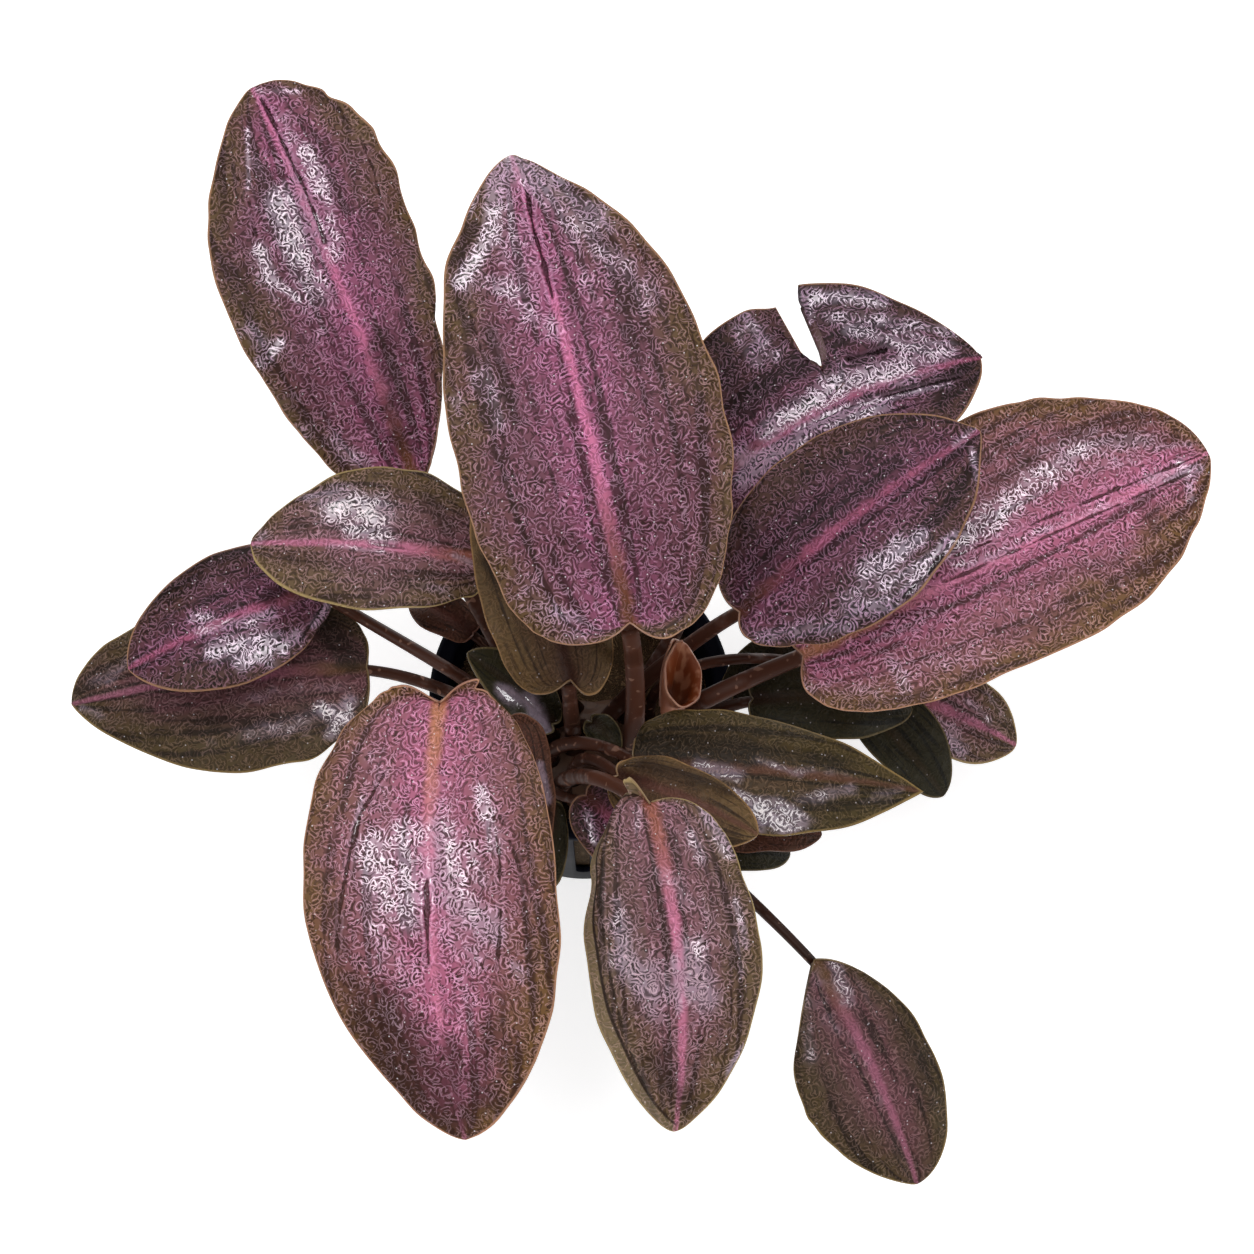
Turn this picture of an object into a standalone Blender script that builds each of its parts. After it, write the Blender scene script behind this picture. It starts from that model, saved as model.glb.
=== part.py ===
"""A red Lagenandra meeboldii growing in a small round nursery pot.

Every blade and every stalk is a closed solid of its own. The blades share one formula, and LEAVES
holds what differs from leaf to leaf. The origin is the middle of the pot's base, +Z is up, and the
plant is seen from -Y, where its front is.
"""

import math

import bmesh
import bpy
from mathutils import Matrix, Vector

MM = 0.001

# The pot
POT_HEIGHT = 50 * MM
POT_TOP_RADIUS = 25 * MM
POT_BASE_RADIUS = 19 * MM
POT_WALL = 1.0 * MM
POT_FLOOR = 1.6 * MM
RIM_WIDTH = 2.2 * MM
RIM_HEIGHT = 3.0 * MM
POT_SIDES = 40
SLOT_COUNT = 10
SLOT_WIDTH = 2.6 * MM
SLOT_LOW = 8 * MM
SLOT_HIGH = 38 * MM

# The mineral wool and the rhizome that lies on it
GAP = 0.3 * MM
PLUG_TOP = 43.5 * MM
PLUG_BEVEL = 1.0 * MM
RHIZOME_MIDDLE = Vector((1.5, -9.6, 46.4)) * MM
RHIZOME_REACH = Vector((15.3, 9.4, 2.6)) * MM

# The blades
BLADE_THICKNESS = 0.8 * MM
NOTCH_TURN = 0.15
ROW_CROWDING = 1.4
VEIN_LAG = 0.9
VEIN_CURVE = 1.3
TUCK_START = 0.72

# The stalks
STALK_POINTS = 7
JOINT_CLEARANCE = 0.5 * MM
FOOT_CLEARANCE = 0.9 * MM

# The young rolled leaf
ROLLED_BASE = Vector((14.6, -8.4, 64.6)) * MM
ROLLED_TOP = Vector((16.6, -5.0, 84)) * MM
ROLLED_FOOT = (12.0 * MM, -12.6 * MM)
ROLLED_NARROW = 0.7 * MM
ROLLED_WIDE = 1.8 * MM
ROLLED_PITCH = 1.1 * MM
ROLLED_TURNS = 1.2
ROLLED_START = 0.6
ROLLED_SLOPE = 0.25
ROLLED_THICKNESS = 0.4 * MM
ROLLED_STEPS = 12
ROLLED_ROWS = 5
FINE_RADII = (1.05 * MM, 0.75 * MM)

# Colours, as linear red, green and blue
POT_BLACK = (0.010, 0.011, 0.018)
WOOL_BROWN = (0.16, 0.12, 0.08)
RHIZOME_BROWN = (0.10, 0.06, 0.035)
STALK_BROWN = (0.11, 0.045, 0.025)
MAUVE = (0.22, 0.07, 0.16)
DARK_PURPLE = (0.09, 0.03, 0.07)
OLIVE = (0.07, 0.07, 0.03)
DARK_GREEN = (0.02, 0.035, 0.02)
KHAKI = (0.16, 0.12, 0.06)
RED_BROWN = (0.12, 0.025, 0.018)
TERRACOTTA = (0.35, 0.13, 0.06)


def pair(value):
    """A left and a right value; a single number stands for both."""
    return value if isinstance(value, tuple) else (value, value)


class Leaf:
    """What differs from one leaf to the next; lengths are given in millimetres, angles in degrees.

    Values in pairs are for the left and the right half of the blade, seen from its base.
    """

    def __init__(self, name, base, tip, width, foot, approach, colour, **shape):
        self.name = name
        self.base = Vector(base) * MM
        self.tip = Vector(tip) * MM
        self.width = tuple(half * MM for half in pair(width))
        self.foot = tuple(value * MM for value in foot)
        self.approach = Vector(approach) * MM
        self.colour = colour
        self.rise = shape.get("rise", 14) * MM
        self.thick = tuple(radius * MM for radius in shape.get("thick", (1.5, 1.1)))
        self.roll = math.radians(shape.get("roll", 0))
        self.arch = shape.get("arch", 3) * MM
        self.bend = shape.get("bend", 0) * MM
        self.fold = math.radians(shape.get("fold", 8))
        self.dome = shape.get("dome", 2) * MM
        self.lobe = tuple(back * MM for back in pair(shape.get("lobe", 2)))
        self.widest = pair(shape.get("widest", 0.42))
        self.blunt = pair(shape.get("blunt", 0.8))
        self.point = pair(shape.get("point", 1.2))
        self.ripple = shape.get("ripple", 0.5) * MM
        self.waves = shape.get("waves", 3)
        self.tuck = shape.get("tuck", 0) * MM
        self.tear = shape.get("tear")
        self.rows = shape.get("rows", 11)
        self.half_columns = shape.get("half_columns", 3)
        self.along = (self.tip - self.base).normalized()
        upright = Vector((0, 0, 1)) - self.along * self.along.z
        self.face = Matrix.Rotation(self.roll, 3, self.along) @ upright.normalized()
        self.across = self.along.cross(self.face)
        self.length = (self.tip - self.base).length

    def turns(self):
        """How far round the outline each row of the blade lies, from 0 at the notch to 1 at the tip."""
        steps = [step / self.rows for step in range(self.rows + 1)]
        if self.tear:
            place, breadth, _ = self.tear
            steps = [step for step in steps if abs(step - place) > 1.5 * breadth]
            steps += [place - breadth, place, place + breadth]
        return sorted(steps)


BIG_STALK = (1.8, 1.3)
THIN_STALK = (1.3, 0.9)
FINE_STALK = (1.05, 0.75)
SMALL = {
    "rows": 8,
    "half_columns": 2,
    "lobe": 1,
    "thick": FINE_STALK,
    "arch": 1.5,
    "dome": 0.5,
    "ripple": 0.2,
}

LEAVES = [
    Leaf("big_centre", (8.1, -6.3, 100), (-9.7, 61.7, 118), (20, 20.4), (8.6, -11.8), (-2.2, 3, 24), MAUVE,
         widest=(0.39, 0.39), lobe=(2, 4), point=(1.3, 1.35), blunt=(0.71, 0.75), bend=0.6, arch=5, dome=3,
         rise=18, thick=BIG_STALK, rows=12),
    Leaf("khaki", (-1.0, -9.0, 82), (-11.1, 28.3, 92), (10.4, 9.2), (-0.9, -9.2), (0, 2, 14), KHAKI,
         widest=0.4, lobe=(1.5, 3.6), blunt=(0.6, 0.8), rise=10),
    Leaf("mid_right", (24.9, 0.2, 87), (61.4, 25.5, 98), (15.0, 15.0), (3.0, -7.2), (7, -2, 16), MAUVE,
         widest=(0.5, 0.42), lobe=(1, 2), point=1.5, bend=-0.5, rise=12),
    Leaf("torn", (18.5, 22.3, 78), (63.4, 42.5, 88), (21, 15), (7.3, -3.4), (-2, 18, 6), DARK_PURPLE,
         widest=(0.42, 0.5), point=(1.2, 1.4), bend=-3, rise=12, tear=(0.68, 0.024, 0.66), rows=12),
    Leaf("right_big", (35.1, -2.9, 76), (99.4, 28.8, 82), (22.4, 17), (10.8, -8.2), (12, 3, 6), MAUVE,
         widest=(0.55, 0.42), lobe=2.5, point=(1.0, 1.15), blunt=0.7, bend=1.5, arch=4,
         rise=10, thick=BIG_STALK, rows=12),
    Leaf("upper_left", (-26.2, 27.3, 73), (-52.4, 86.4, 96), (17.7, 15), (-7.6, -3.5), (-7, 14, 8), MAUVE,
         widest=(0.52, 0.6), lobe=1, point=(1.4, 0.7), blunt=(0.8, 0.9), bend=0.5, arch=4, ripple=0.9,
         waves=4, rise=11, thick=BIG_STALK, rows=12),
    Leaf("left_mid", (-15.3, 10.0, 84), (-50.1, 11.0, 88), (9.3, 13.0), (-3.9, -4.0), (-5, 4, 12), OLIVE,
         widest=0.42, rise=16, lobe=2),
    Leaf("left_upper", (-40.6, 9.6, 73), (-70.6, -3.9, 72), (10.4, 11.4), (-8.0, -7.2), (-10, 6, 3),
         DARK_PURPLE, widest=0.42, lobe=1.5, point=1.3, rise=16, thick=THIN_STALK),
    Leaf("left_lower", (-34.0, -0.8, 64), (-82.7, -4.2, 56), (15.5, 14.0), (-11.4, -6.7), (-12, 1, 0),
         OLIVE, widest=(0.38, 0.45), lobe=0.8, point=(1.7, 1.05), rise=8, thick=THIN_STALK),
    Leaf("front_left", (-20.1, -16.3, 93), (-16.3, -77.6, 72), (19, 18.8), (-11.9, -10.5), (-1, -6, 20),
         MAUVE, widest=(0.42, 0.38), lobe=(3.5, 3), point=1.4, blunt=0.7, bend=3, arch=5,
         rise=16, thick=BIG_STALK, rows=12),
    Leaf("under_front_left", (-11.0, -14.5, 78), (-13.0, -44.0, 62), (8.5, 7), (-8.4, -11.6), (0, -3, 14),
         DARK_PURPLE, rise=12, thick=THIN_STALK),
    Leaf("glossy_left", (-4.4, -9.6, 62), (-17.3, -1.4, 73), (3.5, 5), (-4.6, -7.6), (0, -1, 4), DARK_GREEN,
         rise=3, **SMALL),
    Leaf("front_centre", (11.1, -29.8, 86), (14.9, -75.6, 68), (12.7, 13.5), (-3.2, -16.7), (6, -7, 3),
         MAUVE, widest=0.42, lobe=(0.8, 4.2), point=1.3, bend=-2.4, arch=5, tuck=2.5, rise=16),
    Leaf("brown", (6.3, -21.4, 72.5), (27.7, -31.5, 74.5), (5.6, 7), (-1.1, -14.3), (5.5, -6.1, 4), KHAKI,
         widest=0.46, lobe=1, rise=12, thick=THIN_STALK, rows=9, half_columns=2),
    Leaf("olive", (8.9, -18.6, 70), (54.1, -22.4, 67), (9.7, 9.9), (-5.0, -11.2), (8, -6.1, 2.2), OLIVE,
         widest=(0.3, 0.48), lobe=1, point=2.0, ripple=0.8, fold=3, rise=10, thick=THIN_STALK),
    Leaf("purple_small", (1.2, -21.5, 62), (14.0, -34.0, 58), (5.5, 6.5), (-8.4, -14.6), (5.2, 0.1, 2.5),
         DARK_PURPLE, rise=6, **SMALL),
    Leaf("small_green", (2.1, -8.8, 60), (6.6, -13.8, 61), (2.6, 2.6), (0.3, -5.9), (1, -1, 4), DARK_GREEN,
         rise=5, **SMALL),
    Leaf("strip", (-4.4, -20.8, 54), (-4.8, -33.5, 49), (3, 3), (-6, -17.6), (1, -1, 3), DARK_GREEN,
         rise=3, **SMALL),
    Leaf("front_right", (37.3, -46.0, 53), (53.5, -79.5, 42), (10.1, 12.4), (3.6, -15.2), (12, -13, -2),
         OLIVE, widest=(0.52, 0.54), lobe=0, point=(1.0, 1.6), blunt=(1.2, 1.9), bend=-0.8,
         rise=10, thick=(1.3, 0.75)),
    Leaf("dark_right", (27.9, -5.4, 62), (53.8, -5.9, 58), (6, 6.7), (14.2, -9.9), (8, 0, 2), DARK_GREEN,
         rise=6, thick=THIN_STALK, lobe=1, rows=9, half_columns=2),
    Leaf("dark_far", (45.6, -2.7, 54), (59.7, -16.8, 46), (7.3, 5), (14.4, -13.0), (10, 3, -2), DARK_GREEN,
         rise=5, **SMALL),
    Leaf("far_pink", (52.9, 0.4, 48), (72.9, -6.2, 40), (8, 7.7), (11.0, -3.6), (12.5, -5.5, -6.8),
         DARK_PURPLE, point=1.3, rise=42, **SMALL),
    Leaf("back_green", (25.1, -1.6, 53.2), (37.5, 7.9, 57.6), (4.6, 4.6), (14.4, -5.8), (5, 2, 0.8),
         DARK_GREEN, rise=6, **SMALL),
    Leaf("dark_red", (21.9, -24.7, 53), (39.4, -23.9, 48), (4.5, 4), (10.8, -15.2), (6, -4, 0), RED_BROWN,
         rise=5, **SMALL),
    Leaf("black_low", (19.5, -26.4, 49.5), (34.6, -25.6, 43), (4, 4.5), (8.0, -16.2), (7, -5, -4),
         DARK_GREEN, rise=7, **SMALL),
    Leaf("rim_red", (-17.5, 8.0, 56), (-28.3, 14.8, 53.5), (3.8, 3.8), (-0.6, -2.5), (-6, 5, 1), RED_BROWN,
         rise=4, rows=6, half_columns=2, lobe=0.6, thick=FINE_STALK, arch=2, dome=0.8, fold=14),
]


def clear_scene():
    for thing in list(bpy.data.objects):
        bpy.data.objects.remove(thing, do_unlink=True)


def finish(name, colour, roughness=0.4, metallic=0.0):
    material = bpy.data.materials.new(name)
    material.use_nodes = True
    shader = material.node_tree.nodes["Principled BSDF"]
    shader.inputs["Base Color"].default_value = (*colour, 1)
    shader.inputs["Roughness"].default_value = roughness
    shader.inputs["Metallic"].default_value = metallic
    return material


def add_object(name, data, material):
    thing = bpy.data.objects.new(name, data)
    data.materials.append(material)
    bpy.context.scene.collection.objects.link(thing)
    return thing


def mesh_from(name, shape):
    """Turn a bmesh into mesh data whose faces point out."""
    bmesh.ops.recalc_face_normals(shape, faces=shape.faces)
    data = bpy.data.meshes.new(name)
    shape.to_mesh(data)
    shape.free()
    return data


def outline_place(leaf, side, turn):
    """Where a row of the blade leaves the midrib, and its reach across and along at the margin.

    turn runs from 0 at the notch to 1 at the tip. The outline is an ellipse whose ends are made
    blunter or sharper, moved back by the lobe, and drawn in again at the notch. Reach across is a
    share of the half width.
    """
    half = 0 if side < 0 else 1
    lobe = leaf.lobe[half]
    angle = math.pi * turn**ROW_CROWDING
    share = (1 - math.cos(angle)) / 2
    whole = leaf.length + lobe
    skew = math.log((leaf.widest[half] * leaf.length + lobe) / whole) / math.log(0.5)
    sharpness = leaf.blunt[half] if angle < math.pi / 2 else leaf.point[half]
    across = max(math.sin(angle), 0) ** sharpness
    notch = lobe * math.exp(-((angle / NOTCH_TURN) ** 2))
    along = whole * share**skew - lobe + notch
    midrib_skew = math.log(sum(leaf.widest) / 2) / math.log(0.5)
    midrib = leaf.length * share ** (midrib_skew + VEIN_LAG)
    return midrib, across, along


def blade_point(leaf, side, turn):
    """A point of the blade's middle surface; side runs from -1 at the left margin to 1 at the right."""
    midrib, across, along = outline_place(leaf, side, turn)
    reach = abs(side)
    half_width = leaf.width[0 if side < 0 else 1]
    if leaf.tear and side < 0:
        place, breadth, depth = leaf.tear
        across *= 1 - depth * max(1 - abs(turn - place) / breadth, 0)
    x = half_width * across * side
    y = midrib + (along - midrib) * reach**VEIN_CURVE
    part = min(max(y / leaf.length, 0), 1)
    bow = 4 * part * (1 - part)
    height = leaf.arch * bow
    height += math.tan(leaf.fold) * abs(x)
    height -= leaf.dome * (x / half_width) ** 2
    height += leaf.ripple * reach**3 * across * math.sin(2 * math.pi * leaf.waves * turn + 2 * side)
    if side > TUCK_START:
        height -= leaf.tuck * across * (side - TUCK_START) / (1 - TUCK_START)
    return leaf.base + leaf.across * (x + leaf.bend * bow) + leaf.along * y + leaf.face * height


def make_blade(leaf):
    turns = leaf.turns()
    columns = 2 * leaf.half_columns
    shape = bmesh.new()
    bmesh.ops.create_grid(shape, x_segments=columns, y_segments=len(turns) - 1, size=1)
    for vertex in shape.verts:
        row = round((vertex.co.y + 1) / 2 * (len(turns) - 1))
        vertex.co = blade_point(leaf, vertex.co.x, turns[row])
    bmesh.ops.remove_doubles(shape, verts=shape.verts, dist=0.01 * MM)
    name = "blade_" + leaf.name
    thing = add_object(name, mesh_from(name, shape), finish(name, leaf.colour, 0.3))
    solid = thing.modifiers.new("Thickness", "SOLIDIFY")
    solid.thickness = BLADE_THICKNESS
    solid.offset = 0


def bezier(start, first, second, end, part):
    rest = 1 - part
    return start * rest**3 + first * 3 * rest**2 * part + second * 3 * rest * part**2 + end * part**3


def rhizome_top(x, y):
    """Height of the rhizome's upper side above a place in plan, in metres."""
    east = (x - RHIZOME_MIDDLE.x) / RHIZOME_REACH.x
    north = (y - RHIZOME_MIDDLE.y) / RHIZOME_REACH.y
    return RHIZOME_MIDDLE.z + RHIZOME_REACH.z * math.sqrt(max(1 - east**2 - north**2, 0))


def tapered_tube(name, points, radii, material):
    curve = bpy.data.curves.new(name, "CURVE")
    curve.dimensions = "3D"
    curve.bevel_depth = 1
    curve.bevel_resolution = 1
    curve.use_fill_caps = True
    spline = curve.splines.new("POLY")
    spline.points.add(len(points) - 1)
    for spot, point, radius in zip(spline.points, points, radii):
        spot.co = (*point, 1)
        spot.radius = radius
    return add_object(name, curve, material)


def add_stalk(name, foot, rise, end, approach, thick):
    """A tapered stalk from its foot on the rhizome, first straight up and then along approach."""
    start = Vector((*foot, rhizome_top(*foot) + FOOT_CLEARANCE))
    first = start + Vector((0, 0, rise))
    second = end - approach
    wide, narrow = thick
    points = []
    radii = []
    for step in range(STALK_POINTS):
        part = step / (STALK_POINTS - 1)
        points.append(bezier(start, first, second, end, part))
        radii.append(wide + (narrow - wide) * part)
    tapered_tube("stalk_" + name, points, radii, finish("stalk_" + name, STALK_BROWN, 0.35))


def make_stalk(leaf):
    """The leaf's stalk, which ends just under the blade's notch."""
    narrow = leaf.thick[1]
    end = leaf.base - leaf.face * (BLADE_THICKNESS / 2 + JOINT_CLEARANCE + narrow) + leaf.along * narrow
    add_stalk(leaf.name, leaf.foot, leaf.rise, end, leaf.approach, leaf.thick)


def make_rolled_leaf():
    """A young leaf that is still rolled up: a sheet wound once and a bit round a slender cone."""
    axis = (ROLLED_TOP - ROLLED_BASE).normalized()
    front = (Vector((0, -1, 0)) - axis * -axis.y).normalized()
    beside = axis.cross(front)
    shape = bmesh.new()
    bmesh.ops.create_grid(shape, x_segments=ROLLED_STEPS, y_segments=ROLLED_ROWS, size=1)
    for vertex in shape.verts:
        wound = (vertex.co.x + 1) / 2
        height = (vertex.co.y + 1) / 2
        angle = 2 * math.pi * ROLLED_TURNS * wound + ROLLED_START
        radius = ROLLED_NARROW + (ROLLED_WIDE - ROLLED_NARROW) * height**0.8
        radius += ROLLED_PITCH * wound
        top = 1 - ROLLED_SLOPE * (0.5 - 0.5 * math.cos(2 * math.pi * wound))
        outward = front * math.cos(angle) + beside * math.sin(angle)
        vertex.co = ROLLED_BASE + (ROLLED_TOP - ROLLED_BASE) * height * top + outward * radius
    material = finish("blade_rolled", TERRACOTTA)
    thing = add_object("blade_rolled", mesh_from("blade_rolled", shape), material)
    solid = thing.modifiers.new("Thickness", "SOLIDIFY")
    solid.thickness = ROLLED_THICKNESS
    solid.offset = 0
    end = ROLLED_BASE - axis * (2 * GAP)
    add_stalk("rolled", ROLLED_FOOT, 6 * MM, end, axis * 5 * MM, FINE_RADII)


def make_pot():
    """A turned cup with a rolled rim and upright slots through its wall."""
    shape = bmesh.new()
    slope = (POT_TOP_RADIUS - RIM_WIDTH - POT_BASE_RADIUS) / (POT_HEIGHT - RIM_HEIGHT)
    inner_top = POT_TOP_RADIUS - RIM_WIDTH - POT_WALL
    inner_base = POT_BASE_RADIUS + slope * POT_FLOOR - POT_WALL
    profile = [
        (0, 0),
        (POT_BASE_RADIUS - 1 * MM, 0),
        (POT_BASE_RADIUS, 1 * MM),
        (POT_TOP_RADIUS - RIM_WIDTH, POT_HEIGHT - RIM_HEIGHT),
        (POT_TOP_RADIUS - 0.5 * MM, POT_HEIGHT - RIM_HEIGHT),
        (POT_TOP_RADIUS, POT_HEIGHT - RIM_HEIGHT + 0.7 * MM),
        (POT_TOP_RADIUS, POT_HEIGHT - 0.8 * MM),
        (POT_TOP_RADIUS - 0.8 * MM, POT_HEIGHT),
        (inner_top + 0.5 * MM, POT_HEIGHT),
        (inner_top, POT_HEIGHT - 0.6 * MM),
        (inner_base, POT_FLOOR),
        (0, POT_FLOOR),
    ]
    corners = [shape.verts.new((radius, 0, height)) for radius, height in profile]
    for low, high in zip(corners, corners[1:]):
        shape.edges.new((low, high))
    bmesh.ops.spin(
        shape,
        geom=shape.verts[:] + shape.edges[:],
        axis=(0, 0, 1),
        cent=(0, 0, 0),
        steps=POT_SIDES,
        angle=2 * math.pi,
        use_merge=True,
    )
    bmesh.ops.remove_doubles(shape, verts=shape.verts, dist=0.01 * MM)
    data = mesh_from("pot", shape)
    pot = add_object("pot", data, finish("black plastic", POT_BLACK, 0.25))
    data.shade_smooth()
    data.set_sharp_from_angle(angle=math.radians(40))

    cutters = bmesh.new()
    half_height = (SLOT_HIGH - SLOT_LOW) / 2
    for index in range(SLOT_COUNT):
        turn = Matrix.Rotation(2 * math.pi * (index + 0.5) / SLOT_COUNT, 4, "Z")
        place = Matrix.Translation((POT_TOP_RADIUS - 4 * MM, 0, SLOT_LOW + half_height))
        size = Matrix.Diagonal((9 * MM, SLOT_WIDTH, 2 * half_height, 1))
        bmesh.ops.create_cube(cutters, size=1, matrix=turn @ place @ size)
    cutter = add_object("slot_cutter", mesh_from("slot_cutter", cutters), finish("cutter", OLIVE))
    cutter.hide_render = True
    cutter.display_type = "WIRE"
    slots = pot.modifiers.new("Slots", "BOOLEAN")
    slots.operation = "DIFFERENCE"
    slots.solver = "EXACT"
    slots.object = cutter


def make_plug():
    """Mineral wool that fills the pot's inside up to a little under the rhizome."""
    slope = (POT_TOP_RADIUS - RIM_WIDTH - POT_BASE_RADIUS) / (POT_HEIGHT - RIM_HEIGHT)
    low_radius = POT_BASE_RADIUS + slope * POT_FLOOR - POT_WALL - GAP
    high_radius = POT_BASE_RADIUS + slope * PLUG_TOP - POT_WALL - 2 * GAP
    low = POT_FLOOR + GAP
    shape = bmesh.new()
    bmesh.ops.create_cone(
        shape,
        cap_ends=True,
        segments=POT_SIDES,
        radius1=low_radius,
        radius2=high_radius,
        depth=PLUG_TOP - low,
        matrix=Matrix.Translation((0, 0, (PLUG_TOP + low) / 2)),
    )
    top_edges = [edge for edge in shape.edges if all(end.co.z > POT_HEIGHT / 2 for end in edge.verts)]
    bmesh.ops.bevel(shape, geom=top_edges, offset=PLUG_BEVEL, segments=1, profile=0.5, affect="EDGES")
    add_object("growing_plug", mesh_from("growing_plug", shape), finish("mineral wool", WOOL_BROWN, 0.9))


def make_rhizome():
    """The short, knobbly creeping stem that carries all the stalks."""
    shape = bmesh.new()
    bmesh.ops.create_uvsphere(shape, u_segments=20, v_segments=8, radius=1)
    for vertex in shape.verts:
        direction = vertex.co.copy()
        swell = 1 + 0.05 * math.sin(7 * math.atan2(direction.y, direction.x)) * (1 - direction.z**2)
        scaled = [direction[axis] * RHIZOME_REACH[axis] for axis in range(3)]
        vertex.co = RHIZOME_MIDDLE + Vector((scaled[0] * swell, scaled[1] * swell, scaled[2]))
    add_object("rhizome", mesh_from("rhizome", shape), finish("rhizome bark", RHIZOME_BROWN, 0.7))


def main():
    clear_scene()
    make_pot()
    make_plug()
    make_rhizome()
    for leaf in LEAVES:
        make_blade(leaf)
        make_stalk(leaf)
    make_rolled_leaf()


main()
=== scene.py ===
# %% [markdown]
# # A red Lagenandra meeboldii in its nursery pot
#
# The plant is a rosette: every leaf has a broad, wet, quilted blade on a slender stalk, and all the stalks
# rise from one short creeping stem that lies on mineral wool in a small black pot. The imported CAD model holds
# each blade and stalk as a plain solid. Here each of them gets a finely modelled piece in its place, grown
# from the same few measurements, and a finish of its own. Everything is in metres, with +Z up and the
# plant's front towards -Y.

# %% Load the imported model
import math

import bmesh
import bpy
from mathutils import Matrix, Vector, noise


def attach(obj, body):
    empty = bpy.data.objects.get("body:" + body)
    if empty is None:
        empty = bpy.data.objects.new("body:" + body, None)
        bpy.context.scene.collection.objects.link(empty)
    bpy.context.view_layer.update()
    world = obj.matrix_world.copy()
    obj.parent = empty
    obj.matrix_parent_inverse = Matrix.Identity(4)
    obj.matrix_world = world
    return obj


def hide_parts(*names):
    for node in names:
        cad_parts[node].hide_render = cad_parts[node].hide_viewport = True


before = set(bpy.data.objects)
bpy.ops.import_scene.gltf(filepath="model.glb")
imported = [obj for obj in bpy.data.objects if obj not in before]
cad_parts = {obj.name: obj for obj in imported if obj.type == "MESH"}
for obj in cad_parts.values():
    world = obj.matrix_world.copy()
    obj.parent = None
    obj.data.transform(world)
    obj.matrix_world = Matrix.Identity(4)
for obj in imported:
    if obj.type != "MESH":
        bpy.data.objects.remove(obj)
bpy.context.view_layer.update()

MM = 0.001
print("packed nodes:", len(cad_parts))

# %% [markdown]
# ## Furrows, wet places with painted sheen, and painted shade
#
# Old blades keep the folds of the bud as thin furrows, and water lies on them in patches. Both are particular
# to each leaf, so they are written down leaf by leaf, in the leaf's own plane: millimetres across from the
# midrib, positive to the right as seen from the stalk, and millimetres along from the base. A furrow is a
# line through a few places with its depth. A wet patch is a short line with its half width and strength, and
# a dark patch is written in the same way. A wet patch gives the coat its gloss and the colour a painted sheen;
# a dark patch is painted shade where a leaf lies in shadow, together with the leaf's own darker colour.

# %% Furrows
FURROWS = {
    "upper_left": [
        ([(0.6, 66), (0.8, 58.2), (0.9, 49.9), (0.8, 44.2), (0.6, 40.7)], 0.7),
        ([(11.2, 60.1), (12.4, 53.9), (12.2, 48.7), (11.1, 42)], 0.35),
        ([(-8.1, 55.4), (-8.1, 50.7), (-9.2, 45.8)], 0.5),
        ([(-8.5, 29.3), (-5.8, 23.4), (-3.3, 20.2)], 0.35),
    ],
    "big_centre": [
        ([(0.6, 66.4), (-0.1, 59.6), (0.1, 54.2), (-0.1, 49)], 0.9),
        ([(-12.1, 53), (-12.6, 46.9), (-12.4, 40.7)], 0.3),
        ([(-10, 46.3), (-9.4, 38.3), (-8, 31.9)], 0.25),
    ],
    "torn": [
        ([(1.5, 19.6), (1.8, 28.3), (2.6, 37.1), (2.8, 45.8)], 0.5),
        ([(4.7, 20.7), (4.7, 28.6), (5.6, 39.8)], 0.35), ([(-5.7, 29.3), (-5.5, 33.4), (-5, 37.3)], 0.6),
    ],
    "right_big": [
        ([(-3.7, 26.2), (-2.7, 42.3), (-1.5, 56.2), (-0.3, 70.6)], 0.5),
        ([(-0.8, 22.1), (-0.2, 37.4), (0.6, 51.4), (1.6, 67)], 0.5),
        ([(-0.8, 14.4), (0.8, 26.4), (1.6, 34.6)], 0.25),
    ],
    "mid_right": [([(15, 20.8), (14, 26.9), (12, 32.3)], 0.5)],
    "left_upper": [([(-1.3, 20.8), (0.4, 11.8)], 0.35), ([(-7.6, 6.5), (-3, 1.2)], 0.5)],
    "front_left": [
        ([(7.1, 10.2), (10.2, 15.8), (11.8, 22.5), (12.9, 28.6), (13.8, 35.2)], 0.6),
        ([(-6.8, 11), (-9.6, 17.7), (-10.5, 23.8), (-10.4, 30.8), (-9.5, 38.1)], 0.5),
        ([(-10.4, 17), (-12.9, 23.7), (-15.1, 29.9)], 0.4),
        ([(0.4, 25.9), (0.5, 31.6), (0.7, 37.9)], 0.9),
    ],
    "front_centre": [
        ([(8.4, 6.2), (10.5, 13.5), (10.7, 22.3), (8.5, 34.4), (2.9, 47)], 0.4),
        ([(-5.2, 2.9), (-6.3, 7.4), (-6.5, 11.7)], 0.3),
    ],
    "left_mid": [([(0.8, 23), (0.1, 13.7), (0.1, 6)], 0.25)],
}
print("furrows:", sum(map(len, FURROWS.values())))
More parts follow.
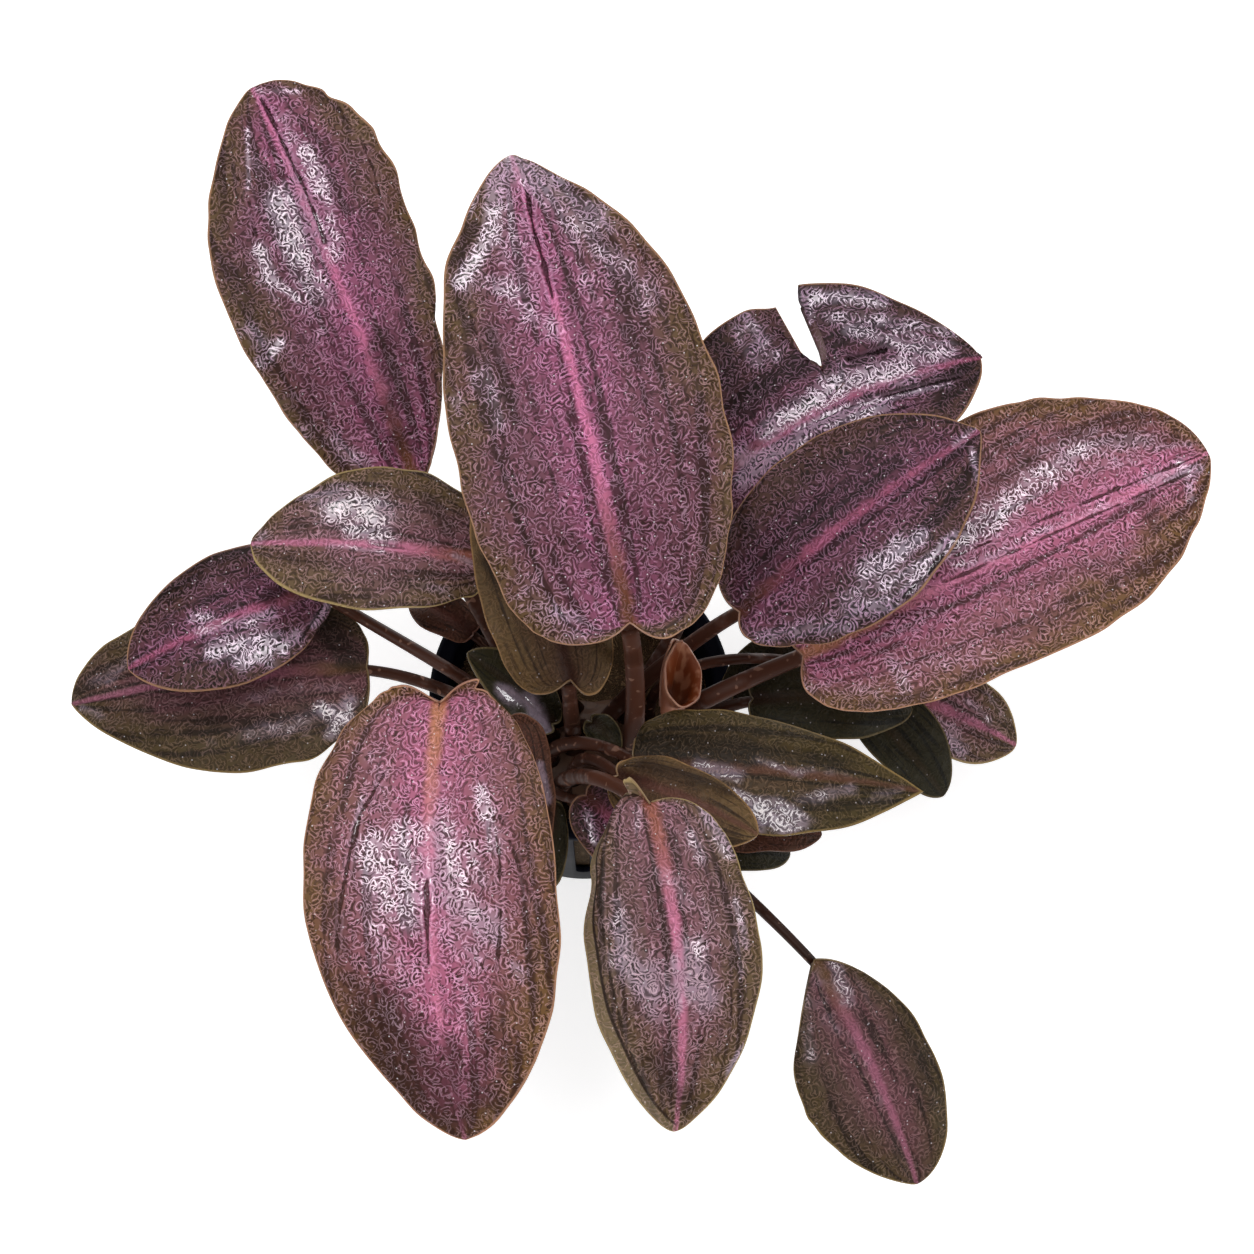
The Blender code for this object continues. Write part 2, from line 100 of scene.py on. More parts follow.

# %% Wet patches, for the coat's gloss and a painted sheen
GLEAMS = {
    "upper_left": [
        (-3.4, 49.7, -3.9, 40.4, 2.1, 1), (-3.9, 40.4, -2.9, 32.6, 1.8, 0.6),
        (3.5, 55.8, 3.5, 49.1, 1.3, 1), (3.6, 47.8, 2.4, 40.8, 1.1, 0.6), (2.5, 60.1, 2.8, 56.1, 1.1, 0.5),
        (-9.7, 43.5, -9.6, 38.2, 1.0, 1), (-9.3, 37.7, -7, 33.7, 0.6, 1), (-16, 26.8, -12.4, 28.3, 0.8, 1),
        (-3.6, 62.2, -7.3, 53, 0.4, 0.7), (-9.1, 8.4, -6, 6, 0.8, 0.5),
        (-14.1, 15.4, -13.5, 13.4, 1.0, 0.35), (-5.8, 40.1, -5.2, 33.1, 1.5, 0.5),
        (0.2, 67.8, 6.7, 65, 0.6, 0.5), (-0.8, 47.8, 0.8, 39.4, 1.3, 0.55),
        (-6.2, 35.1, -5.6, 28.1, 1.3, 0.35), (0.4, 54.6, 0.2, 50.2, 1.3, 0.4),
        (-11.5, 40.7, -10.4, 35, 1.1, 0.35), (-9.1, 8.4, -6.5, 6.2, 1.3, 0.5),
        (-0.4, 48.6, 0.5, 38.6, 1.8, 0.6), (-15.9, 32.1, -14, 27.6, 1.3, 0.6),
        (2.6, 61.6, 0.9, 51.6, 1.5, 0.4), (-9.8, 11.2, -8.3, 7.5, 1.1, 0.5),
        (-0.8, 47.8, 0.1, 39.6, 1.6, 0.5), (-0.7, 46.1, -0.9, 37.5, 1.3, 0.5),
        (-5.2, 57.4, -4.4, 54.6, 1.0, 0.4),
    ],
    "big_centre": [
        (-3.1, 69, -6.7, 59.9, 1.3, 1), (-7.1, 59.9, -12.7, 54.5, 1.1, 1),
        (-7.4, 52.1, -5.1, 51.2, 1.0, 0.8), (-0.9, 71, 2.3, 67.7, 1.0, 0.5),
        (3.3, 65.7, 10.2, 60.2, 1.5, 0.55), (4.5, 62, 8.5, 54.5, 2.6, 0.45),
        (-2.1, 60.5, -3.8, 51.1, 2.1, 0.4), (-10.4, 4, -7.5, 2.1, 1.0, 0.55),
        (-17.8, 37.6, -18.7, 34, 1.1, 0.35), (-6.4, 68, -8.5, 64.4, 0.5, 0.6),
        (-1.6, 70, -4, 57.5, 1.0, 0.5), (2.9, 64.4, 9.7, 58.7, 1.6, 0.55),
        (10, 54.1, 13.6, 45.3, 1.9, 0.45), (-11.6, 53.4, -0, 53.7, 1.3, 0.45),
        (-5.8, 49.2, -1.1, 44.1, 1.6, 0.45), (-14.4, 39.6, -12.7, 36.8, 1.1, 0.35),
        (-15.2, 6.9, -4.6, -0.3, 1.1, 0.3), (-1.6, 72.1, 3.5, 66.5, 2.1, 0.9),
        (5.3, 64.8, 10.9, 57.5, 1.5, 0.5), (-12.6, 40.6, -12.3, 32.9, 1.3, 0.45),
        (-13.5, 8, -8.3, 0.1, 1.6, 0.35), (-1.8, 69.5, 5.6, 65.9, 1.6, 0.6),
        (5.8, 58.4, 5.1, 47.3, 1.5, 0.3), (-5.4, 59.4, -4.5, 51.3, 1.3, 0.4),
        (7.3, 63.8, 8.8, 60.9, 1.1, 0.4),
    ],
    "torn": [
        (0.5, 9.7, 3.5, 18.6, 1.3, 0.9), (-1.4, 15.6, -1.6, 26.4, 1.9, 0.8),
        (-2.4, 26.7, -1, 38.7, 1.9, 0.85), (-1.5, 38.2, -2.6, 43.7, 1.3, 0.6),
        (-17.7, 29.9, -10.2, 27.6, 1.0, 0.6), (-7.7, 40.2, -2.8, 46, 1.0, 0.6),
        (-18.5, 18.2, -12.2, 18.4, 1.3, 0.5), (2.7, 31.2, 3.7, 43.8, 0.6, 0.6),
        (-16.8, 31.9, -10.9, 37.6, 0.8, 0.4), (2.8, 8.7, 2.6, 19, 1.6, 0.8),
        (1.6, 19.5, 3.3, 32.6, 1.5, 0.8), (-13.3, 31.9, -5.2, 47.8, 1.3, 0.5),
        (-1.3, 38.9, -2.3, 46.5, 1.5, 0.6), (-15.6, 18.1, -11.6, 21.6, 1.3, 0.5),
        (-3.3, 2.9, -1, 9.6, 1.3, 0.6), (-18.1, 29.3, -13, 40.2, 1.3, 0.8),
        (-9.8, 33.8, -1.8, 44.7, 1.3, 0.7), (-1.1, 31.4, -2, 38.3, 1.5, 0.5),
        (-19.5, 20.3, -13.8, 21, 1.1, 0.7), (-0.1, 7.1, 1, 12.4, 1.1, 0.4),
        (-18.6, 20.5, -14.5, 21, 1.0, 0.6), (-1.2, 38, -2.2, 43.3, 1.3, 0.6),
        (-19.1, 20.4, -15.2, 21, 1.0, 0.6), (1, 36.2, 0.2, 42.3, 1.1, 0.5),
    ],
    "mid_right": [
        (8.8, 18.8, 8.8, 24.8, 1.9, 0.7), (14.4, 21.6, 11.9, 32.5, 0.8, 1),
        (11, 13.7, 14.2, 18.5, 1.5, 0.7), (-0, 41.2, -0.7, 45.6, 0.6, 0.6), (8, 6.1, 10.6, 10.4, 1.0, 0.35),
        (11.8, 18.8, 12.7, 27.5, 1.3, 0.6), (2, 42.9, 6.4, 40.5, 0.5, 0.6),
        (9.6, 21.4, 9.3, 28.2, 1.3, 0.8), (5.1, 0.3, 13.1, 12, 1.1, 0.5), (9.6, 13.8, 11.2, 19.3, 1.3, 0.5),
        (8.6, 22.1, 8.6, 25.9, 1.1, 0.4),
    ],
    "right_big": [
        (-5.1, 34, -9.1, 44, 2.3, 0.65), (-9.1, 46.8, -10, 54.5, 1.3, 0.85),
        (-10, 54.5, -6.1, 64.4, 1.3, 0.6), (-0.5, 61.1, 1.7, 68.9, 1.0, 0.7),
        (1, 66.9, 5.5, 65.1, 0.6, 0.6), (-1.8, 27.7, -0.6, 35.8, 0.8, 0.6), (6.2, 11.6, 12.2, 11, 1.3, 0.4),
        (-1.7, 34.7, 0.2, 55.2, 0.6, 0.45), (-12.4, 47.7, -10.9, 57.7, 0.8, 0.5),
        (-4.7, 63.6, -2.5, 69.9, 0.5, 0.5), (-4.8, 29.3, -8.4, 36.5, 1.6, 0.65),
        (-7.2, 40.4, -8.7, 50.1, 1.9, 0.6), (-9.5, 50.5, -7.6, 59.6, 1.1, 0.5),
        (5.5, -2, 10.8, 7.5, 1.3, 0.3), (8.3, 12.2, 13.5, 23.8, 1.6, 0.25),
        (-5.1, -1.3, -2.5, 9.3, 1.0, 0.3), (-3, 27.5, -7, 37.4, 1.6, 0.6), (-0.8, 67, 2.6, 67.5, 0.8, 0.6),
        (3.3, 11.4, 3.1, 21.7, 1.5, 0.3), (-6.5, 52.6, -4, 61.4, 1.0, 0.4),
        (-8.4, 38.2, -8.4, 49, 1.0, 0.5),
    ],
    "left_mid": [
        (6.1, 22.6, 4.9, 15.9, 2.4, 1), (2.2, 20, 1, 14.2, 1.1, 0.8), (7.3, 27.2, 8.6, 21.7, 0.6, 0.7),
        (-0.2, 33.9, 1.3, 33.1, 0.8, 0.5), (0, 3.7, -0.7, 1.3, 0.6, 0.9), (-5.6, 8.1, -6.1, 5.4, 0.8, 0.35),
        (-0.4, 22.9, -1.1, 15.2, 0.5, 0.6), (6.9, 23.4, 3.7, 20.9, 1.1, 0.3),
    ],
    "left_upper": [
        (0, 20.4, -1.9, 9.3, 1.0, 0.7), (-3.9, 19.2, -6.1, 10.1, 1.8, 0.8), (-7.2, 16.4, -7, 12, 1.3, 0.9),
        (-7.9, 10, -6.5, 6.8, 1.0, 0.8), (-5.8, 3.9, -3.2, 0.6, 0.5, 1), (2.6, 20.1, 0.7, 17.3, 0.8, 0.6),
        (-2.3, 12.8, -6.7, 8.7, 1.0, 0.5), (-5.9, 13.9, -9.2, 11.9, 1.3, 0.5),
    ],
    "left_lower": [
        (-5.5, 2.7, -11.2, 5.9, 1.0, 0.8), (-10.1, 18.6, -8.5, 8.7, 1.6, 0.4),
        (-1.2, 47.3, -3.3, 43.6, 0.8, 0.5), (2.3, 42.2, 6.7, 36.4, 0.8, 0.4),
        (-12.8, 26.1, -10.2, 24.4, 0.3, 0.9), (-3.2, 10.5, -3.7, 3.4, 1.1, 0.3),
        (-6.9, 7.3, -8.8, 3.5, 1.3, 0.8), (-4, 20.1, -3.2, 10.5, 1.3, 0.35),
        (2.5, 45.5, 3.8, 41.8, 1.1, 0.4),
    ],
    "front_left": [
        (8, 21, 6.6, 26.9, 2.4, 0.9), (4.3, 18.4, 2.3, 28.6, 1.8, 0.8), (-1.9, 18.7, -3.9, 29, 2.1, 0.9),
        (-4.2, 29.1, -7.6, 32.4, 1.5, 0.9), (-7.3, 13.2, -9.9, 22, 1.0, 0.75),
        (-5.5, 21.8, -7.8, 26.3, 1.8, 0.55), (8.4, 29, 6.8, 37.1, 1.8, 0.45),
        (4.5, 37.3, 3.9, 43.3, 1.5, 0.35), (-11.8, 39, -12.9, 40.6, 0.8, 0.6),
        (11.3, 19.4, 10.1, 13.6, 0.5, 0.7), (-1.3, 33.3, -5.5, 37.9, 1.6, 0.4),
        (-1.4, 12.9, -4.6, 20.3, 1.9, 0.4), (-3.8, 29, -8.7, 33.7, 2.3, 0.75),
        (6.5, 28.4, 2.6, 31.6, 1.9, 0.75), (8.9, 26.4, 7.8, 28.2, 1.3, 0.5),
        (-4.5, 39.4, -3.9, 49.7, 1.3, 0.35), (8.4, 37.1, 2.1, 39.6, 1.3, 0.35),
        (2, 18.5, -1.6, 27.4, 1.9, 0.6), (-2.3, 27.5, -5.6, 36.4, 2.3, 0.5), (7.7, 44.5, 6, 47.6, 1.3, 0.4),
        (8.6, 7.9, 5, 18.3, 1.5, 0.35), (0.6, 22.9, -6.2, 37.3, 1.9, 0.5), (-1.7, 21.6, -3.1, 26, 1.6, 0.4),
        (6.5, 16.8, 4.9, 25.6, 1.3, 0.3),
    ],
    "front_centre": [
        (8.3, 16.7, 7.7, 20.2, 1.1, 0.8), (8, 22.3, 4.6, 27.1, 1.8, 0.9),
        (-1.8, 21.7, -3.6, 29.2, 1.8, 0.8), (0.6, 23, 0.3, 30.4, 0.6, 0.9),
        (-7.8, 1.6, -9.5, 7.6, 1.1, 0.8), (-4.6, 5, -5.6, 8.8, 1.0, 0.5), (-9.3, 14.9, -10, 21.7, 0.6, 0.6),
        (1.4, -0.6, 3.2, 4.4, 0.5, 0.5), (-7, 40.5, -8.9, 37, 0.5, 0.8), (6.2, 28.5, 3.3, 31.7, 1.3, 0.4),
        (-0.5, 25.3, -1.8, 28.4, 1.5, 0.85), (4.4, 23.8, 2, 27.3, 1.6, 0.6),
        (8.1, 13.6, 5.6, 21.1, 1.1, 0.4), (-4.2, 14.5, -5.8, 18.3, 1.3, 0.3),
        (0.9, 9.8, -2.7, 14.4, 1.3, 0.4), (1.3, 26.6, -2, 29.1, 1.3, 0.4),
        (-8.7, 19.3, -9.1, 25.3, 0.6, 0.4),
    ],
    "olive": [
        (-0.1, 10, 1.2, 15.6, 1.1, 0.8), (5, 17.4, 9, 24.7, 1.1, 1), (3.7, 13.5, 5.1, 20.1, 0.8, 0.7),
        (4.2, 25.9, 1.6, 33.7, 1.0, 0.5), (3, 35.6, 0.5, 41.7, 0.8, 0.35),
        (-0.5, 24, -0.8, 33.5, 0.6, 0.35), (9.8, 17.9, 7.1, 21.1, 1.3, 0.9),
        (5.5, 22.5, 7.6, 26.2, 1.3, 0.8), (-1.5, 18.5, 0.2, 25.7, 0.6, 0.5),
        (9.8, 19.7, 7.3, 21.9, 1.1, 0.5),
    ],
    "under_front_left": [
        (-5.8, 6, -7.3, 11.3, 0.6, 0.9),
    ],
    "glossy_left": [
        (0.1, 6.3, -1.5, 0.4, 1.2, 1), (-1.7, 11.4, -0.8, 7.5, 1.0, 0.8),
    ],
    "purple_small": [
        (2.2, 2.4, 4.5, 6.2, 0.6, 0.8),
    ],
    "far_pink": [
        (-2.9, 10.8, -1.4, 16.3, 0.6, 0.5), (4.1, 7.2, 5.5, 12.7, 1.3, 0.7),
        (-6, 13.6, -2.9, 18.9, 0.6, 0.4), (2.9, 8.2, 3.3, 11.3, 1.1, 0.5),
    ],
    "front_right": [
        (-4.5, 4.8, -3.7, 14.1, 0.6, 0.25), (0.7, 1.4, 2.7, 11, 1.5, 0.3), (1.3, 13.5, 1, 23.9, 1.1, 0.2),
        (-2.8, 1.4, -1, 7.5, 1.3, 0.5), (4.7, 5, 8.4, 13.5, 1.1, 0.3),
    ],
}
print("wet patches:", sum(map(len, GLEAMS.values())))

# %% Dark patches: painted shade and the leaf's own darker colour
SHADES = {
    "big_centre": [
        (-12.7, 57.6, -8.3, 62.6, 1.0, 0.9), (-10.4, 46.3, -10.1, 32.5, 1.0, 0.8),
        (2.9, 55.1, 1.8, 43.5, 0.6, 0.6), (1.8, 43.5, 0.7, 29.9, 0.6, 0.5), (3.8, 17.2, 2.8, 2.6, 3.5, 0.5),
        (-7.3, 15.3, -3, 7.7, 1.9, 0.5), (-14.1, 52.1, -13.2, 47.1, 1.0, 0.6),
        (-11.2, 34.2, -8.6, 23, 0.8, 0.4), (14.8, 19, 14.2, 5.8, 1.6, 0.45),
        (6.7, 13.5, 6.5, 1.8, 2.4, 0.45), (12.4, 4.8, 12.4, -0.4, 0.8, 0.4),
        (6.6, 16.5, 8.2, 1.3, 2.9, 0.4), (3.9, 11.2, 5, 2.1, 1.9, 0.4),
    ],
    "upper_left": [
        (3.4, 22.9, -0.3, 7.5, 3.2, 0.65), (-14.4, 41.8, -15.3, 25.2, 1.6, 0.5),
        (10.6, 56.5, 7.1, 40.2, 1.1, 0.4), (4.8, 60.7, 4.8, 44.7, 0.6, 0.6),
        (-9.2, 43.3, -8, 36.8, 0.6, 0.5), (-15.6, 20.2, -12, 12, 2.3, 0.45),
        (-8.2, 60.4, -13.7, 48.6, 1.1, 0.5), (3, 13, 1.2, 5.2, 1.3, 0.6), (0, 14.1, -0.5, 6, 2.3, 0.5),
        (-3.7, 26.5, -2.7, 10.1, 1.9, 0.4), (5.5, 23.8, 3.7, 16.1, 1.0, 0.4),
    ],
    "torn": [
        (-6.6, 28.5, -4.8, 33.1, 1.0, 1), (-4.8, 33.1, -5.6, 37.8, 0.8, 1),
        (-20.5, 15, -8.8, 12.8, 2.3, 0.6), (-8.8, 12.8, -8.4, 19.1, 1.6, 0.5),
        (5.8, 41.3, 1.7, 47.1, 1.5, 0.7), (1.4, 31, 2.8, 44.2, 0.5, 0.8), (-15, 9.2, -8.3, 5.7, 1.6, 0.5),
        (-4.2, 16.9, -3.1, 21.8, 1.0, 0.5), (-20.2, 13.3, -15.8, 13.5, 1.3, 0.4),
    ],
    "mid_right": [
        (-2.7, 6.3, -3.2, 30, 3.9, 0.55), (-1.3, 1.2, -3.8, 7.3, 1.6, 0.6), (0.6, 35.4, -0, 43.1, 1.6, 0.4),
        (0.2, 21.7, 6.8, 35.4, 2.3, 0.25), (15, 20.8, 13.2, 29.5, 0.8, 0.6),
        (-9.5, 19.5, -5.3, 35.2, 1.9, 0.4), (-9, 8.1, -0.2, 1.4, 1.5, 0.5), (-10.2, 9, 0.7, 1.2, 1.5, 0.5),
        (-12.9, 10.6, -3.8, 7.3, 1.6, 0.5),
    ],
    "right_big": [
        (-11.3, 39, -11.9, 46.5, 1.1, 0.7), (-12.3, 54.9, -7.5, 65.3, 1.9, 0.5),
        (1.6, 31.2, 8.9, 46.4, 2.9, 0.35), (0.3, 12.9, 5.2, 29.1, 0.6, 0.5),
        (11.8, 27.3, 13.2, 40.4, 1.3, 0.4), (4.5, 31.3, 9, 49.9, 1.3, 0.5),
        (-13.4, 50.1, -4.3, 68.1, 1.1, 0.55), (-13.8, 52.1, -3.2, 68.5, 1.3, 0.5),
        (5.3, 32.6, 8.2, 52.2, 1.3, 0.35), (-14.1, 43.3, -12.6, 49.6, 1.3, 0.5),
    ],
    "left_mid": [
        (7.3, 26.5, 7.8, 23.5, 1.9, 0.3), (8.4, 8.1, 3.8, 5.5, 1.6, 0.6), (-3, 27.3, -6.1, 5.7, 1.3, 0.4),
        (4.1, 8.6, -1.2, 6, 1.3, 0.3),
    ],
    "left_upper": [
        (10.7, 19.4, 10.5, 9.6, 1.9, 0.6), (8.3, 25.4, 7.9, 17.1, 1.6, 0.5), (0.8, 9.1, 1.8, 4.6, 1.3, 0.7),
    ],
    "left_lower": [
        (8.4, 6.9, 1.4, 2.5, 2.3, 0.9), (-5.7, 33.4, -11.1, 17, 1.6, 0.2), (-2, 35.2, -7.2, 21.8, 1.9, 0.25),
        (-4.9, 10.5, -10.4, 5.9, 1.6, 0.5),
    ],
    "front_left": [
        (13.7, 28.6, 12.7, 35.3, 1.3, 0.6), (1.5, 32.4, 0.9, 33.9, 1.1, 0.5),
        (8.6, 45.1, 1.1, 60.2, 4.8, 0.85), (-2.8, 55.7, -5.1, 59, 2.9, 0.7),
        (-9.8, 50.1, -8.2, 54.5, 1.9, 0.45), (12.3, 39.7, 8.7, 45.9, 2.3, 0.6),
        (-13.1, 19.3, -14.9, 38.4, 1.1, 0.5), (15.5, 13.4, 15.9, 22, 1.3, 0.35),
        (-1, 51, 0.6, 61.5, 2.3, 0.8), (-7.1, 48.4, -3.9, 56.5, 1.9, 0.6), (2.7, 44.9, 0.5, 49.4, 1.6, 0.4),
        (-0.3, 57.5, -3.9, 57.6, 2.1, 0.6), (1.1, 36.8, -0.9, 38.5, 0.8, 0.4),
        (16.1, 7.5, 11, -0.2, 1.3, 0.45), (-11, 6.9, -14.7, 15, 1.1, 0.4),
        (-1.2, 56.5, -5.6, 56.7, 1.9, 0.5), (2, 34.5, -0.6, 42.1, 1.3, 0.35),
    ],
    "front_centre": [
        (4, 37.8, -1.7, 45.3, 2.1, 0.6), (8.6, 16.7, 7.9, 17.9, 1.0, 0.5), (2.4, 9.6, 3, 18.4, 1.0, 0.5),
        (-4.8, 23.4, -3.4, 32.3, 1.0, 0.3), (-6, 5.9, -7.8, 14.8, 1.1, 0.35),
    ],
    "olive": [
        (-3, 0.6, -2.8, 17.6, 2.6, 0.85), (-2.8, 17.6, -2.6, 33.5, 1.6, 0.6),
        (1.4, 35.2, 0.3, 40, 1.3, 0.4), (-3.4, 9.8, -2.8, 30.2, 1.6, 0.5), (-4.7, 2, -4.2, 9.8, 1.6, 0.5),
    ],
    "far_pink": [
        (1.1, 6.5, -0.6, 14.6, 1.1, 0.4), (0, 0, 0, 17, 1.2, 0.5),
    ],
    "front_right": [
        (-7.3, 14, -5.6, 27.1, 2.3, 0.45), (7, 17.6, 4.9, 28.9, 1.6, 0.4),
    ],
    "khaki": [
        (-7.5, 20.6, -4.5, 13.5, 1.6, 0.8), (-0.8, 3.3, 3.3, 0.7, 0.8, 0.3),
    ],
    "brown": [
        (-2.6, 3, -3.8, 17, 1.5, 0.7), (2.5, 5, 3, 18, 1.5, 0.35),
    ],
}
print("dark patches:", sum(map(len, SHADES.values())))

# %% [markdown]
# ## Trimmed outlines
#
# The formula for an outline gives a tidy leaf, while grown leaves are a little lopsided. A trim moves the
# margin out or in at some turns of the outline, first on the left half and then on the right, and smoothly in
# between. Most trims are less than a millimetre, and the largest, at two deep bays, are about four.

# %% Trims of the outlines
TRIMS = {
    "big_centre": (
        [(0.72, 0), (0.8, 0.6), (0.85, -0.1), (0.9, -0.2), (1, 0)],
        [(0.1, 0), (0.2, -1), (0.3, -1.6), (0.4, -1.7), (0.5, -0.8), (0.6, 0.2), (0.8, 0.6), (0.85, -0.1),
         (0.9, -1), (0.95, -0.6), (1, 0)],
    ),
    "upper_left": (
        [(0.5, 0.3), (0.6, 0.9), (0.7, 0.6), (0.75, -0.1), (0.8, -0.6), (0.85, -0.6), (0.9, -0.4), (1, 0)],
        [(0, 0), (0.1, -1.2), (0.2, -2.2), (0.3, -1), (0.35, -0.2), (0.4, -0.7), (0.45, 0.4), (0.5, -0.9),
         (0.6, 0.1), (0.7, 1.6), (0.75, 1.4), (0.8, 0.6), (0.85, -0.2), (0.9, -0.6), (1, 0)],
    ),
    "mid_right": (
        [(0.2, 0), (0.3, -0.6), (0.4, -0.9), (0.5, -1.3), (0.6, -1.5), (0.7, -1.3), (0.8, -0.9), (0.9, -0.5),
         (1, 0)],
        [(0.1, 0), (0.2, -0.8), (0.3, -1.9), (0.4, -2.1), (0.5, -0.4), (0.6, 0.9), (0.7, 0.8), (0.8, 0.7),
         (0.9, -0.2), (1, 0)],
    ),
    "torn": (
        [(0.5, 0.2), (0.6, -0.5), (0.66, -2.2), (0.69, 0.6), (0.76, 0.6), (0.84, -0.6), (0.9, -0.6), (1, 0)],
        [(0.8, 0), (0.9, 0.2), (1, 0)],
    ),
    "olive": (
        [(0, 0), (0.1, -1.6), (0.2, -2.4), (0.3, -1.8), (0.4, -0.6), (0.5, 0), (1, 0)],
        [(0, 0), (1, 0)],
    ),
    "right_big": (
        [(0.6, 0.5), (0.65, 0.6), (0.7, -0.3), (0.75, -1), (0.8, -1.3), (0.85, -1.2), (0.9, -0.5), (1, 0)],
        [(0, 0), (0.1, 0.9), (0.2, 0.2), (0.4, -0.2), (0.5, -0.2), (0.6, 0.3), (0.7, 1.5), (0.75, 2),
         (0.8, 1.5), (0.85, 0.5), (0.9, -0.1), (0.95, -0.3), (1, 0)],
    ),
    "left_mid": (
        [(0.3, 0), (0.4, -0.8), (0.5, 0.4), (0.6, 1), (0.7, 1.2), (0.8, 1.4), (0.9, 0.8), (1, 0)],
        [(0.4, 0), (0.5, 0.8), (0.6, 0), (0.7, -0.2), (0.8, -1.1), (0.85, -1.3), (0.9, -1.1), (1, 0)],
    ),
    "left_upper": (
        [(0, 0), (0.2, -1.6), (0.3, -3), (0.4, -2.6), (0.5, -0.4), (0.6, 0), (0.8, 0.5), (1, 0)],
        [(0, 0), (1, 0)],
    ),
    "left_lower": (
        [(0, 0), (0.1, -0.9), (0.2, -1.2), (0.3, -1.5), (0.4, -1), (0.5, 0.6), (0.6, 0.4), (0.7, 0.3),
         (1, 0)],
        [(0, 0), (1, 0)],
    ),
    "front_left": (
        [(0, 0), (0.08, 0.2), (0.12, 0.4), (0.2, -2.9), (0.3, -4), (0.4, -3.2), (0.5, -1.5), (0.6, -0.2),
         (0.7, 0.6), (0.75, 1.4), (0.8, 0.9), (0.9, 0.6), (1, 0)],
        [(0, 0), (0.08, 1), (0.15, 0.2), (0.2, -0.7), (0.3, -1.9), (0.4, -1.4), (0.5, -0.7), (0.6, -0.3),
         (0.75, -0.4), (0.85, -0.6), (0.9, 0), (1, 0)],
    ),
    "front_centre": (
        [(0.2, 0), (0.4, -0.4), (0.5, -1.1), (0.6, -0.4), (0.7, -0.6), (0.8, -0.4), (0.9, -0.4), (1, 0)],
        [(0, 0), (0.07, 1.6), (0.12, 0.5), (0.2, -2.9), (0.3, -4.4), (0.4, -4.1), (0.5, -1.6), (0.6, 0.2),
         (0.7, 0.3), (0.8, -0.4), (0.9, -0.3), (1, 0)],
    ),
    "front_right": (
        [(0, 0), (1, 0)],
        [(0.2, 0.5), (0.3, 0.9), (0.45, 0.9), (0.6, 0.6), (0.65, -0.2), (0.75, -0.7), (0.85, -0.4), (1, 0)],
    ),
}
print("trimmed leaves:", len(TRIMS))

# %% [markdown]
# ## What makes one leaf differ from the next
#
# A leaf could be sculpted by hand, but twenty-six of them would never share one character. Instead one
# formula makes them all, and a short list says what differs: where the blade starts and ends, how wide each
# half is, how it arches, folds and ripples, and where its stalk stands on the creeping stem. Places and
# widths are those of the CAD model, so each fine leaf lies where its solid lies.

# %% One leaf's measurements
def pair(value):
    """A left and a right value; a single number stands for both."""
    return value if isinstance(value, tuple) else (value, value)


class Leaf:
    """Lengths are given in millimetres, angles in degrees; pairs are for the left and the right half."""

    def __init__(self, name, base, tip, width, foot, approach, palette, **shape):
        self.name = name
        self.base = Vector(base) * MM
        self.tip = Vector(tip) * MM
        self.width = tuple(half * MM for half in pair(width))
        self.foot = tuple(value * MM for value in foot)
        self.approach = Vector(approach) * MM
        self.palette = palette
        self.rise = shape.get("rise", 14) * MM
        self.thick = tuple(radius * MM for radius in shape.get("thick", (1.5, 1.1)))
        self.arch = shape.get("arch", 3) * MM
        self.bend = shape.get("bend", 0) * MM
        self.fold = math.radians(shape.get("fold", 8))
        self.dome = shape.get("dome", 2) * MM
        self.lobe = tuple(back * MM for back in pair(shape.get("lobe", 2)))
        self.widest = pair(shape.get("widest", 0.42))
        self.blunt = pair(shape.get("blunt", 0.8))
        self.point = pair(shape.get("point", 1.2))
        self.ripple = shape.get("ripple", 0.5) * MM
        self.waves = shape.get("waves", 3)
        self.tuck = shape.get("tuck", 0) * MM
        self.tear = shape.get("tear")
        self.hem = shape.get("hem", 0)
        self.ears = tuple(lift * MM for lift in pair(shape.get("ears", 0.6)))
        self.notch = shape.get("notch", 0.07)
        self.scallop = tuple(depth * MM for depth in pair(shape.get("scallop", 0.3)))
        self.step = shape.get("step", 0.5) * MM
        self.trims = TRIMS.get(name, ([(0, 0)], [(0, 0)]))
        self.furrows = FURROWS.get(name, ())
        self.gleams = GLEAMS.get(name, ())
        self.shades = SHADES.get(name, ())
        self.along = (self.tip - self.base).normalized()
        self.face = (Vector((0, 0, 1)) - self.along * self.along.z).normalized()
        self.across = self.along.cross(self.face)
        self.length = (self.tip - self.base).length


BIG_STALK = (1.8, 1.3)
THIN_STALK = (1.3, 0.9)
FINE_STALK = (1.05, 0.75)
SMALL = {"lobe": 1, "thick": FINE_STALK, "arch": 1.5, "dome": 0.5, "ripple": 0.2}

